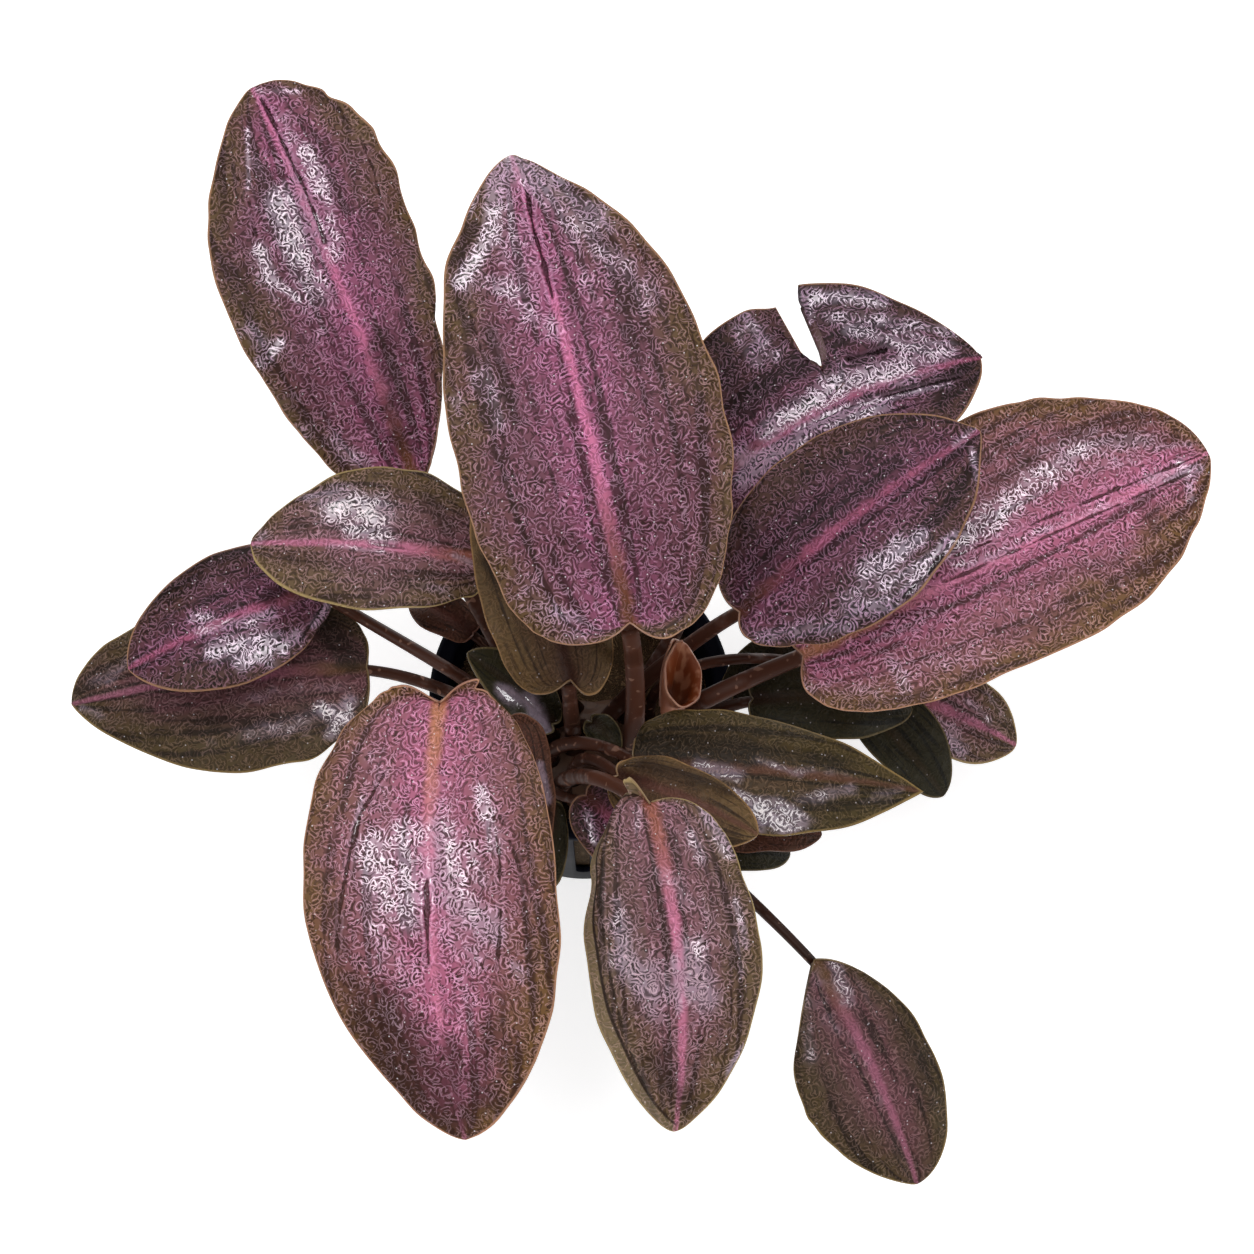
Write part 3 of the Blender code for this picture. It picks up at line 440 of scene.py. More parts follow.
# %% The leaves
LEAVES = [
    Leaf("big_centre", (8.1, -6.3, 100), (-9.7, 61.7, 118), (20, 20.4), (8.6, -11.8), (-2.2, 3, 24), "mauve",
         widest=(0.39, 0.39), lobe=(2, 4), point=(1.3, 1.35), blunt=(0.71, 0.75), bend=0.6, arch=5, dome=3,
         rise=18, thick=BIG_STALK, notch=0.05, scallop=(0.3, 0.4)),
    Leaf("khaki", (-1.0, -9.0, 82), (-11.1, 28.3, 92), (10.4, 9.2), (-0.9, -9.2), (0, 2, 14), "khaki",
         widest=0.4, lobe=(1.5, 3.6), blunt=(0.6, 0.8), rise=10),
    Leaf("mid_right", (24.9, 0.2, 87), (61.4, 25.5, 98), (15.0, 15.0), (3.0, -7.2), (7, -2, 16), "plum",
         widest=(0.5, 0.42), lobe=(1, 2), point=1.5, bend=-0.5, rise=12),
    Leaf("torn", (18.5, 22.3, 78), (63.4, 42.5, 88), (21, 15), (7.3, -3.4), (-2, 18, 6), "plum",
         widest=(0.42, 0.5), point=(1.2, 1.4), bend=-3, rise=12, tear=(0.68, 0.018, 0.71), step=0.3),
    Leaf("right_big", (35.1, -2.9, 76), (99.4, 28.8, 82), (22.4, 17), (10.8, -8.2), (12, 3, 6), "rose",
         widest=(0.55, 0.42), lobe=2.5, point=(1.0, 1.15), blunt=0.7, bend=1.5, arch=4,
         rise=10, thick=BIG_STALK),
    Leaf("upper_left", (-26.2, 27.3, 73), (-52.4, 86.4, 96), (17.7, 15), (-7.6, -3.5), (-7, 14, 8), "mauve",
         widest=(0.52, 0.6), lobe=1, point=(1.4, 0.7), blunt=(0.8, 0.9), bend=0.5, arch=4, ripple=0.9,
         waves=4, rise=11, thick=BIG_STALK, scallop=(0.3, 0.9)),
    Leaf("left_mid", (-15.3, 10.0, 84), (-50.1, 11.0, 88), (9.3, 13.0), (-3.9, -4.0), (-5, 4, 12), "heath",
         widest=0.42, rise=16, lobe=2),
    Leaf("left_upper", (-40.6, 9.6, 73), (-70.6, -3.9, 72), (10.4, 11.4), (-8.0, -7.2), (-10, 6, 3),
         "plum", widest=0.42, lobe=1.5, point=1.3, rise=16, thick=THIN_STALK),
    Leaf("left_lower", (-34.0, -0.8, 64), (-82.7, -4.2, 56), (15.5, 14.0), (-11.4, -6.7), (-12, 1, 0),
         "dusk", widest=(0.38, 0.45), lobe=0.8, point=(1.7, 1.05), rise=8, thick=THIN_STALK),
    Leaf("front_left", (-20.1, -16.3, 93), (-16.3, -77.6, 72), (19, 18.8), (-11.9, -10.5), (-1, -6, 20),
         "rose", widest=(0.42, 0.38), lobe=(3.5, 3), point=1.4, blunt=0.7, bend=3, arch=5, ears=(2.2, 1.6),
         rise=16, thick=BIG_STALK),
    Leaf("under_front_left", (-11.0, -14.5, 78), (-13.0, -44.0, 62), (8.5, 7), (-8.4, -11.6), (0, -3, 14),
         "russet", rise=12, thick=THIN_STALK),
    Leaf("glossy_left", (-4.4, -9.6, 62), (-17.3, -1.4, 73), (3.5, 5), (-4.6, -7.6), (0, -1, 4), "moss",
         rise=3, **SMALL),
    Leaf("front_centre", (11.1, -29.8, 86), (14.9, -75.6, 68), (12.7, 13.5), (-3.2, -16.7), (6, -7, 3),
         "heath", widest=0.42, lobe=(0.8, 4.2), point=1.3, bend=-2.4, arch=5, tuck=2.5, rise=16,
         ears=(0.2, 2.5), hem=1),
    Leaf("brown", (6.3, -21.4, 72.5), (27.7, -31.5, 74.5), (5.6, 7), (-1.1, -14.3), (5.5, -6.1, 4), "khaki",
         widest=0.46, lobe=1, rise=12, thick=THIN_STALK),
    Leaf("olive", (8.9, -18.6, 70), (54.1, -22.4, 67), (9.7, 9.9), (-5.0, -11.2), (8, -6.1, 2.2), "olive",
         widest=(0.3, 0.48), lobe=1, point=2.0, ripple=0.8, fold=3, rise=10, thick=THIN_STALK),
    Leaf("purple_small", (1.2, -21.5, 62), (14.0, -34.0, 58), (5.5, 6.5), (-8.4, -14.6), (5.2, 0.1, 2.5),
         "plum", rise=6, **SMALL),
    Leaf("small_green", (2.1, -8.8, 60), (6.6, -13.8, 61), (2.6, 2.6), (0.3, -5.9), (1, -1, 4), "moss",
         rise=5, **SMALL),
    Leaf("strip", (-4.4, -20.8, 54), (-4.8, -33.5, 49), (3, 3), (-6, -17.6), (1, -1, 3), "moss",
         rise=3, **SMALL),
    Leaf("front_right", (37.3, -46.0, 53), (53.5, -79.5, 42), (10.1, 12.4), (3.6, -15.2), (12, -13, -2),
         "dusk", widest=(0.52, 0.54), lobe=0, point=(1.0, 1.6), blunt=(1.2, 1.9), bend=-0.8,
         rise=10, thick=(1.3, 0.75)),
    Leaf("dark_right", (27.9, -5.4, 62), (53.8, -5.9, 58), (6, 6.7), (14.2, -9.9), (8, 0, 2), "moss",
         rise=6, thick=THIN_STALK, lobe=1),
    Leaf("dark_far", (45.6, -2.7, 54), (59.7, -16.8, 46), (7.3, 5), (14.4, -13.0), (10, 3, -2), "moss",
         rise=7, **SMALL),
    Leaf("far_pink", (52.9, 0.4, 48), (72.9, -6.2, 40), (8, 7.7), (11.0, -3.6), (12.5, -5.5, -6.8),
         "heath", point=1.3, rise=42, **SMALL),
    Leaf("back_green", (25.1, -1.6, 53.2), (37.5, 7.9, 57.6), (4.6, 4.6), (14.4, -5.8), (5, 2, 0.8),
         "moss", rise=6, **SMALL),
    Leaf("dark_red", (21.9, -24.7, 53), (39.4, -23.9, 48), (4.5, 4), (10.8, -15.2), (6, -4, 0), "russet",
         rise=5, **SMALL),
    Leaf("black_low", (19.5, -26.4, 49.5), (34.6, -25.6, 43), (4, 4.5), (8.0, -16.2), (7, -5, -4),
         "moss", rise=7, **SMALL),
    Leaf("rim_red", (-17.5, 8.0, 56), (-28.3, 14.8, 53.5), (3.8, 3.8), (-0.6, -2.5), (-6, 5, 1), "russet",
         rise=4, lobe=0.6, thick=FINE_STALK, arch=2, dome=0.8, fold=14),
]
print("leaves:", len(LEAVES), "longest blade:", round(max(leaf.length for leaf in LEAVES) / MM), "mm")

# %% [markdown]
# ## The outline of a blade
#
# A heart-shaped blade could be traced, but a formula gives every leaf the same family likeness. The outline
# is an ellipse whose two ends are made blunter or sharper, moved back by the lobe and drawn in again at the
# notch where the stalk joins. A place on the blade has two coordinates that follow the leaf's own growth:
# `side` goes from -1 at the left margin over 0 at the midrib to 1 at the right, and `turn` goes round the
# outline from the notch to the tip. Lines of equal turn then run as the side veins do.

# %% Where a place on the blade lies in its own plane
ROW_CROWDING = 1.4
VEIN_LAG = 0.9
VEIN_CURVE = 1.3
TUCK_START = 0.72


def outline_place(leaf, side, turn):
    """Where a row of the blade leaves the midrib, and its reach across and along at the margin."""
    half = 0 if side < 0 else 1
    lobe = leaf.lobe[half]
    angle = math.pi * turn**ROW_CROWDING
    share = (1 - math.cos(angle)) / 2
    whole = leaf.length + lobe
    skew = math.log((leaf.widest[half] * leaf.length + lobe) / whole) / math.log(0.5)
    sharpness = leaf.blunt[half] if angle < math.pi / 2 else leaf.point[half]
    across = max(math.sin(angle), 0) ** sharpness
    notch = lobe * math.exp(-angle / leaf.notch)
    along = whole * share**skew - lobe + notch
    midrib_skew = math.log(sum(leaf.widest) / 2) / math.log(0.5)
    midrib = leaf.length * share ** (midrib_skew + VEIN_LAG)
    return midrib, across, along


# %% [markdown]
# ## The relief of a blade
#
# The real blade isn't a smooth sheet. The midrib lies in a shallow channel with raised flanks, old blades
# have long furrows where they once were folded, the lobes beside the notch stand up like ears, the margin
# waves, and the skin between the veins is slightly puffed. Each of these is one small term added to the
# height, which keeps the leaf easy to read and to change. The finest crinkles are left to the finish,
# because they are narrower than the mesh.

# %% The height of each kind of relief
CHANNEL_DEPTH = 0.2 * MM
CHANNEL_WIDTH = 0.8 * MM
FLANK_HEIGHT = 0.1 * MM
FLANK_PLACE = 2.2 * MM
FLANK_WIDTH = 1.2 * MM
MIDRIB_FADE = 0.7
FURROW_WIDTH = 0.55
FURROW_DEPTH = 0.6 * MM
NO_FURROW = (20.0, 0.0)
PATCH_SOFTNESS = 1.3
SWELL = ((14 * MM, 0.55 * MM), (5 * MM, 0.22 * MM), (2.2 * MM, 0.07 * MM))
EAR_TURN = 0.07
EAR_SPREAD = 0.13


def hump(distance, width):
    """A soft bump: 1 at no distance, fading to 0 a few widths away."""
    return math.exp(-((distance / width) ** 2))


def midrib_relief(x, part):
    """The channel over the midrib and its raised flanks, shallower towards the tip."""
    fading = 1 - MIDRIB_FADE * part
    flanks = FLANK_HEIGHT * hump(abs(x) - FLANK_PLACE, FLANK_WIDTH)
    return (flanks - CHANNEL_DEPTH * hump(x, CHANNEL_WIDTH)) * fading


def from_line(x, y, start, end):
    """Distance of a place from the straight line between two others."""
    east, north = end[0] - start[0], end[1] - start[1]
    part = ((x - start[0]) * east + (y - start[1]) * north) / max(east**2 + north**2, 1e-9)
    part = min(max(part, 0), 1)
    return math.hypot(x - start[0] - part * east, y - start[1] - part * north)


def nearest_furrow(leaf, x, y):
    """Distance from the nearest furrow and its depth, in millimetres."""
    found = NO_FURROW
    for places, depth in leaf.furrows:
        gap = min(from_line(x, y, *ends) for ends in zip(places, places[1:]))
        found = min(found, (gap, depth))
    return found


def patch_strength(patches, x, y):
    """How strongly a place belongs to the patches of a table, from 0 to 1."""
    return max((strength * hump(from_line(x, y, (a, b), (c, d)), PATCH_SOFTNESS * half)
                for a, b, c, d, half, strength in patches), default=0.0)


def swell_relief(leaf, x, y):
    """Uneven puffing of the skin; every leaf reads another part of the noise."""
    height = 0.0
    for size, amount in SWELL:
        height += amount * noise.noise(Vector((x / size, y / size, leaf.base.x / MM)))
    return height


# %% [markdown]
# ## One point of the blade
#
# Outline and relief meet here. The blade is laid out flat first, x across and y along, and then bent: it
# arches from base to tip, its halves fold up from the midrib and droop again towards the margin. With the
# spot comes what the finish wants to know about it: how far it is from the midrib, along the midrib and from
# the margin, how near and deep the next furrow is, and how wet it is, which also sets its painted sheen.

# %% Points of the blade
SCALLOP_LENGTH = 7 * MM
FLAP_REACH = 0.8 * MM
TEAR_BOTTOM = 0.34
TEAR_BEND = 7.5 * MM
TEAR_REACH = 0.17
LIP_SPREAD = 2.2
LIP_HEIGHT = 1.2 * MM
LEAST_REACH = 2 * MM
DEEPEST_TRIM = -0.5


def scallops(leaf, turn):
    """Uneven small bays along the margin, between -1 and 1."""
    return 2 * noise.noise(Vector((turn * 2 * leaf.length / SCALLOP_LENGTH, leaf.base.y / MM, 0)))


def trimmed(leaf, half, turn):
    """How far the margin is moved out at a turn of the outline."""
    low = max((stop for stop in leaf.trims[half] if stop[0] <= turn), default=leaf.trims[half][0])
    high = min((stop for stop in leaf.trims[half] if stop[0] > turn), default=low)
    part = (turn - low[0]) / max(high[0] - low[0], 1e-6)
    part = min(max(part, 0), 1)
    return (low[1] + (high[1] - low[1]) * (1 - math.cos(math.pi * part)) / 2) * MM


def tear_share(leaf, side, turn):
    """How much of the reach is left beside a tear, and how high the torn lip curls there."""
    if not leaf.tear or side > 0:
        return 1.0, 0.0
    place, breadth, depth = leaf.tear
    gap = max(1 - abs(turn - place) / breadth, 0)
    lip = hump(turn - place - LIP_SPREAD * breadth, LIP_SPREAD * breadth) if turn > place else 0.0
    return 1 - depth * gap**0.25, lip


def tear_pull(reach):
    """How strongly the skin beside a tear is drawn towards the tip, from 0 at the margin."""
    if reach < TEAR_BOTTOM:
        return hump(reach - TEAR_BOTTOM, TEAR_BOTTOM)
    return ((1 - reach) / (1 - TEAR_BOTTOM)) ** 2


def blade_point(leaf, side, turn):
    midrib, across, along = outline_place(leaf, side, turn)
    reach = abs(side)
    half = 0 if side < 0 else 1
    half_width = leaf.width[half]
    share, lip = tear_share(leaf, side, turn)
    across *= share
    x = half_width * across * side
    y = midrib + (along - midrib) * reach**VEIN_CURVE
    longer = trimmed(leaf, half, turn) / max(math.hypot(half_width * across, along - midrib), LEAST_REACH)
    longer = max(longer, DEEPEST_TRIM) * reach**2
    x *= 1 + longer
    y += (y - midrib) * longer
    x += leaf.scallop[half] * side * reach**4 * across * scallops(leaf, turn + half)
    y -= FLAP_REACH * lip * reach**2
    if leaf.tear and side < 0:
        y += TEAR_BEND * tear_pull(reach) * hump(turn - leaf.tear[0], TEAR_REACH)
    part = min(max(y / leaf.length, 0), 1)
    bow = 4 * part * (1 - part)
    height = leaf.arch * bow
    height += math.tan(leaf.fold) * abs(x)
    height -= leaf.dome * (x / half_width) ** 2
    height += leaf.ripple * reach**3 * across * math.sin(2 * math.pi * leaf.waves * turn + 2 * side)
    if side > TUCK_START:
        height -= leaf.tuck * across * (side - TUCK_START) / (1 - TUCK_START)
    gap, depth = nearest_furrow(leaf, x / MM, y / MM)
    # How wet a spot is: it sets the coat's gloss and a painted sheen in the colour.
    wet_and_sheen = patch_strength(leaf.gleams, x / MM, y / MM)
    height += midrib_relief(x, part) + swell_relief(leaf, x, y)
    height -= FURROW_DEPTH * depth * hump(gap, FURROW_WIDTH)
    height += leaf.ears[half] * reach**2 * hump(turn - EAR_TURN, EAR_SPREAD)
    height += LIP_HEIGHT * lip * reach**3
    spot = leaf.base + leaf.across * (x + leaf.bend * bow) + leaf.along * y + leaf.face * height
    margin = half_width * across * (1 - reach)
    return spot, Vector((x, midrib, margin)), Vector((gap * MM, depth, wet_and_sheen)), y


print("middle of the first blade:", [round(value, 4) for value in blade_point(LEAVES[0], 0, 0.5)[0]])

# %% [markdown]
# ## Growing a blade
#
# A grid is the natural start: its columns become lines from base to tip, and its rows become side veins.
# Every vertex is carried to its place by the formula, the rows that shrink to a point at the notch and the
# tip are merged, and Solidify gives the sheet its thickness, with the underside and the margin in slots of
# their own. Five attributes travel with the mesh, so that the finish can follow the leaf and not the room:
# place, flat, furrow, shade and hem.

# %% Grow a blade
BLADE_THICKNESS = 0.55 * MM
THIN_RIM = 0.55
THIN_REACH = 1.2 * MM
MERGE_DISTANCE = 0.004 * MM
FEWEST_ROWS = 24
FEWEST_COLUMNS = 10
PATTERN_SHIFT = 10
HEM_SPREAD = 0.45


def new_piece(name, shape, finishes):
    """Turn a bmesh into an object that is shaded smooth."""
    data = bpy.data.meshes.new(name)
    shape.to_mesh(data)
    shape.free()
    for finish in finishes:
        data.materials.append(finish)
    data.shade_smooth()
    piece = bpy.data.objects.new(name, data)
    bpy.context.scene.collection.objects.link(piece)
    return piece


def settle(piece, node):
    """Let a piece ride on the plant and stand for its CAD node, which is hidden."""
    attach(piece, "root")
    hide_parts(node)


def grow_blade(leaf, finishes):
    rows = max(FEWEST_ROWS, round(leaf.length / leaf.step))
    columns = 2 * max(FEWEST_COLUMNS, round(max(leaf.width) / leaf.step))
    east, north = PATTERN_SHIFT * leaf.base.x, PATTERN_SHIFT * leaf.base.y
    shape = bmesh.new()
    place_layer = shape.verts.layers.float_vector.new("place")
    flat_layer = shape.verts.layers.float_vector.new("flat")
    furrow_layer = shape.verts.layers.float_vector.new("furrow")
    shade_layer = shape.verts.layers.float.new("shade")
    hem_layer = shape.verts.layers.float.new("hem")
    thin_layer = shape.verts.layers.deform.verify()
    bmesh.ops.create_grid(shape, x_segments=columns, y_segments=rows, size=1)
    for vertex in shape.verts:
        side = vertex.co.x
        turn = (vertex.co.y + 1) / 2
        vertex.co, place, furrow, y = blade_point(leaf, side, turn)
        vertex[place_layer] = place
        vertex[flat_layer] = (place.x + east, y + north, place.y / leaf.length * MM)
        vertex[furrow_layer] = furrow
        vertex[shade_layer] = patch_strength(leaf.shades, place.x / MM, y / MM)
        vertex[hem_layer] = hump(turn - 0.5, HEM_SPREAD) ** 0.3 if leaf.hem * side > 0 else 0
        vertex[thin_layer][0] = 1 - THIN_RIM * hump(place.z, THIN_REACH)
    bmesh.ops.remove_doubles(shape, verts=shape.verts, dist=MERGE_DISTANCE)
    bmesh.ops.recalc_face_normals(shape, faces=shape.faces)
    if sum(face.normal.dot(leaf.face) for face in shape.faces) < 0:
        bmesh.ops.reverse_faces(shape, faces=shape.faces)
    piece = new_piece("leaf_" + leaf.name, shape, finishes)
    wall = piece.modifiers.new("Thickness", "SOLIDIFY")
    wall.thickness = BLADE_THICKNESS
    wall.offset = 0
    wall.material_offset = 1
    wall.material_offset_rim = 2
    wall.vertex_group = piece.vertex_groups.new(name="thickness").name
    settle(piece, "blade_" + leaf.name)
    return piece


# %% [markdown]
# ## Growing a stalk
#
# A leaf stalk is round below and channelled above, a little swollen where it leaves the creeping stem, and
# it runs on under the blade as the raised midrib. A curve with a bevel would give a round tube only, so
# a channelled ring is extruded step by step along the path, and each new ring is turned and scaled into
# its place.

# %% Grow a stalk
STALK_SIDES = 14
STALK_STEPS = 26
MIDRIB_STEPS = 14
MIDRIB_REACH = 0.72
MIDRIB_TAPER = 0.75
MIDRIB_SINK = 0.6
STALK_DROP = 0.7
BELOW_MIDDLE = 0.3
RHIZOME_MIDDLE = Vector((1.5, -9.6, 46.4)) * MM
RHIZOME_REACH = Vector((15.3, 9.4, 2.6)) * MM
FOOT_SINK = 0.8 * MM
FOOT_FLARE = 0.4
FLARE_LENGTH = 3.0 * MM
GROOVE = 0.22
GROOVE_WIDTH = 0.5


def rhizome_top(x, y):
    """Height of the creeping stem's upper side above a place in plan."""
    east = (x - RHIZOME_MIDDLE.x) / RHIZOME_REACH.x
    north = (y - RHIZOME_MIDDLE.y) / RHIZOME_REACH.y
    return RHIZOME_MIDDLE.z + RHIZOME_REACH.z * math.sqrt(max(1 - east**2 - north**2, 0))


def bezier(start, first, second, end, part):
    rest = 1 - part
    return start * rest**3 + first * 3 * rest**2 * part + second * 3 * rest * part**2 + end * part**3


def stalk_path(foot, rise, end, approach, thick):
    """Centres and radii of the rings from the foot to the end."""
    start = Vector((*foot, rhizome_top(*foot) - FOOT_SINK))
    wide, narrow = thick
    path = []
    for step in range(STALK_STEPS):
        part = step / (STALK_STEPS - 1)
        centre = bezier(start, start + Vector((0, 0, rise)), end - approach, end, part)
        flare = 1 + FOOT_FLARE * hump((centre - start).length, FLARE_LENGTH)
        path.append((centre, (wide + (narrow - wide) * part) * flare))
    return path


def midrib_path(leaf):
    """The stalk's run under the blade, thinner and thinner."""
    narrow = leaf.thick[1]
    path = []
    for step in range(1, MIDRIB_STEPS + 1):
        part = MIDRIB_REACH * step / MIDRIB_STEPS
        radius = narrow * (1 - MIDRIB_TAPER * part / MIDRIB_REACH)
        turn = (math.acos(1 - 2 * part) / math.pi) ** (1 / ROW_CROWDING)
        centre = blade_point(leaf, 0, turn)[0]
        path.append((centre - leaf.face * (MIDRIB_SINK * radius + BLADE_THICKNESS * BELOW_MIDDLE), radius))
    return path


def sweep(path, inward):
    """A closed tube through the rings of a path; inward is where its channel faces at the foot."""
    shape = bmesh.new()
    bmesh.ops.create_circle(shape, segments=STALK_SIDES, radius=1, cap_ends=True)
    for vertex in shape.verts:
        vertex.co.y -= GROOVE * hump(vertex.co.x, GROOVE_WIDTH) if vertex.co.y > 0 else 0
    ring = list(shape.verts)
    placed = Matrix.Identity(4)
    upper = inward
    cap = list(shape.faces)
    for index, (centre, radius) in enumerate(path):
        ahead = path[min(index + 1, len(path) - 1)][0] - path[max(index - 1, 0)][0]
        tangent = ahead.normalized()
        upper = (upper - tangent * upper.dot(tangent)).normalized()
        beside = upper.cross(tangent)
        frame_matrix = Matrix((beside, upper, tangent)).transposed().to_4x4()
        goal = Matrix.Translation(centre) @ frame_matrix @ Matrix.Scale(radius, 4)
        if index:
            grown = bmesh.ops.extrude_face_region(shape, geom=cap)["geom"]
            ring = [part for part in grown if isinstance(part, bmesh.types.BMVert)]
            cap = [part for part in grown if isinstance(part, bmesh.types.BMFace)]
        bmesh.ops.transform(shape, matrix=goal @ placed.inverted(), verts=ring)
        placed = goal
    bmesh.ops.recalc_face_normals(shape, faces=shape.faces)
    return shape


def grow_stalk(leaf, finish):
    narrow = leaf.thick[1]
    end = leaf.base - leaf.face * (STALK_DROP * narrow) + leaf.along * narrow
    path = stalk_path(leaf.foot, leaf.rise, end, leaf.approach, leaf.thick) + midrib_path(leaf)
    inward = Vector((-leaf.along.x, -leaf.along.y, 0)).normalized()
    piece = new_piece("petiole_" + leaf.name, sweep(path, inward), [finish])
    settle(piece, "stalk_" + leaf.name)
    return piece


# %% [markdown]
# ## Calculating with sockets
#
# A leaf's colour is easiest to think of as a sum: so much pink here, less near the margin, a little more on
# every crinkle. Wired by hand that is dozens of nodes. The small class below stands for a node's output and
# lets Python's own signs add the Math nodes, so a finish can be written as the sum it is.

# %% Outputs that can be added and multiplied
class Wire:
    """An output of a node."""

    def __init__(self, finish, socket):
        self.finish = finish
        self.socket = socket

    def __add__(self, other):
        return self.finish.maths("ADD", self, other)

    def __sub__(self, other):
        return self.finish.maths("SUBTRACT", self, other)

    def __rsub__(self, other):
        return self.finish.maths("SUBTRACT", other, self)

    def __mul__(self, other):
        return self.finish.maths("MULTIPLY", self, other)

    def __truediv__(self, other):
        return self.finish.maths("DIVIDE", self, other)

    def __abs__(self):
        return self.finish.maths("ABSOLUTE", self)

    __radd__ = __add__
    __rmul__ = __mul__


class Finish:
    """A material under construction: its shader, and one method for every other node."""

    def __init__(self, name, constants):
        self.material = bpy.data.materials.new(name)
        self.material.use_nodes = True
        self.tree = self.material.node_tree
        self.shader = self.tree.nodes["Principled BSDF"]
        for socket, value in constants.items():
            self.shader.inputs[socket].default_value = value

    def node(self, kind, settings=None, sockets=None, output=0):
        made = self.tree.nodes.new(kind)
        for name, value in (settings or {}).items():
            setattr(made, name, value)
        for name, value in (sockets or {}).items():
            if isinstance(value, Wire):
                self.tree.links.new(value.socket, made.inputs[name])
            else:
                made.inputs[name].default_value = value
        return Wire(self, made.outputs[output])

    def maths(self, operation, first, second=0.0):
        return self.node("ShaderNodeMath", {"operation": operation}, {0: first, 1: second})

    def smooth(self, value, low, high):
        """0 below low, 1 above high, and a soft step between them; high may be the smaller one."""
        sockets = {"Value": value, "From Min": low, "From Max": high}
        return self.node("ShaderNodeMapRange", {"interpolation_type": "SMOOTHSTEP"}, sockets)

    def mix(self, factor, low, high):
        """Two colours, mixed."""
        return self.node("ShaderNodeMix", {"data_type": "RGBA"}, {0: factor, 6: low, 7: high}, output=2)

    def split(self, vector, number=0):
        """One of a vector's three numbers."""
        return self.node("ShaderNodeSeparateXYZ", None, {0: vector}, output=number)

    def attribute(self, name, output="Vector"):
        """What the mesh carries under a name."""
        return self.node("ShaderNodeAttribute", {"attribute_name": name}, output=output)

    def object_place(self):
        return self.node("ShaderNodeTexCoord", output="Object")

    def grain(self, where, scale, detail=2.0, distortion=0.0):
        """Noise, as a value around one half."""
        sockets = {"Vector": where, "Scale": scale, "Detail": detail, "Distortion": distortion}
        return self.node("ShaderNodeTexNoise", None, sockets)

    def drive(self, socket, value):
        self.tree.links.new(value.socket, self.shader.inputs[socket])

    def bump(self, height, distance, strength=1.0):
        sockets = {"Height": height, "Distance": distance, "Strength": strength}
        self.drive("Normal", self.node("ShaderNodeBump", None, sockets))


def tone(red, green, blue):
    """A colour as the eye reads it on a screen, from 0 to 255, made linear for the shader."""
    linear = [((value / 255 + 0.055) / 1.055) ** 2.4 for value in (red, green, blue)]
    return (*linear, 1.0)


# %% [markdown]
# ## The finish of a blade
#
# The blades look as if covered with tiny bent worms: curled ridges a fifth of a millimetre wide that catch
# the light. Drawing them would take a picture; here they are rings round scattered points, which a Voronoi
# texture gives, bent by one noise and cut into short strokes by another. They lift the bump, so that a
# highlight breaks up on them, and they tint the colour with a painted highlight on each ridge and painted
# shade in the trough beside it. The rest follows the leaf: pink along the midrib, ochre where the stalk comes
# in, mauve in the middle and olive towards the margin, with darker streaks along the veins.

# %% Crinkles of the skin
RING_CELLS = (330, 450, 620)
RING_SPACING = 0.66 * MM
RING_CREST = (0.7, 0.95)
RING_TROUGH = (0.45, 0.15)
WOBBLE = 1.5 * MM
WOBBLE_SCALE = 460
CUT_SCALE = 760
GLINT_CELLS = 420
PATCH_SCALE = 90
BLOT_SCALE = 330
SHOWN = (0.48, 0.53)


def rings(finish, where, cells):
    """Concentric waves round scattered points, from 0 between them to 1 on them."""
    near = finish.node("ShaderNodeTexVoronoi", {"voronoi_dimensions": "2D"},
                       {"Vector": where, "Scale": cells})
    colour = Wire(finish, near.socket.node.outputs["Color"])
    phase = finish.split(colour)
    return finish.maths("PINGPONG", near * (1 / (cells * RING_SPACING)) + phase, 0.5) * 2


def crinkles(finish, flat):
    """Ridges with painted highlights and the troughs beside them with painted shade:
    three sets of rings, each shown in short pieces.
    """
    settings = {"noise_dimensions": "2D"}
    bend = finish.node("ShaderNodeTexNoise", settings,
                       {"Vector": flat, "Scale": WOBBLE_SCALE, "Detail": 1}, 1)
    push = {"operation": "MULTIPLY_ADD"}
    where = finish.node("ShaderNodeVectorMath", push, {0: bend, 1: (WOBBLE,) * 3, 2: flat})
    cut = finish.node("ShaderNodeTexNoise", settings, {"Vector": flat, "Scale": CUT_SCALE, "Detail": 0}, 1)
    ridges_and_highlights, troughs_and_shade = 0.0, 0.0
    for number, cells in enumerate(RING_CELLS):
        shown = finish.smooth(finish.split(cut, number), *SHOWN)
        wave = rings(finish, where, cells)
        ridges_and_highlights = finish.maths("MAXIMUM", finish.smooth(wave, *RING_CREST) * shown, ridges_and_highlights)
        troughs_and_shade = finish.maths("MAXIMUM", finish.smooth(wave, *RING_TROUGH) * shown, troughs_and_shade)
    return ridges_and_highlights, troughs_and_shade * (1 - ridges_and_highlights)


def specks(finish, flat):
    """Tiny painted glints, pale dots in every other cell."""
    near = finish.node("ShaderNodeTexVoronoi", {"voronoi_dimensions": "2D"},
                       {"Vector": flat, "Scale": GLINT_CELLS})
    colour = Wire(finish, near.socket.node.outputs["Color"])
    chosen = finish.smooth(finish.split(colour), 0.55, 0.6)
    return finish.smooth(near, 0.055, 0.03) * chosen
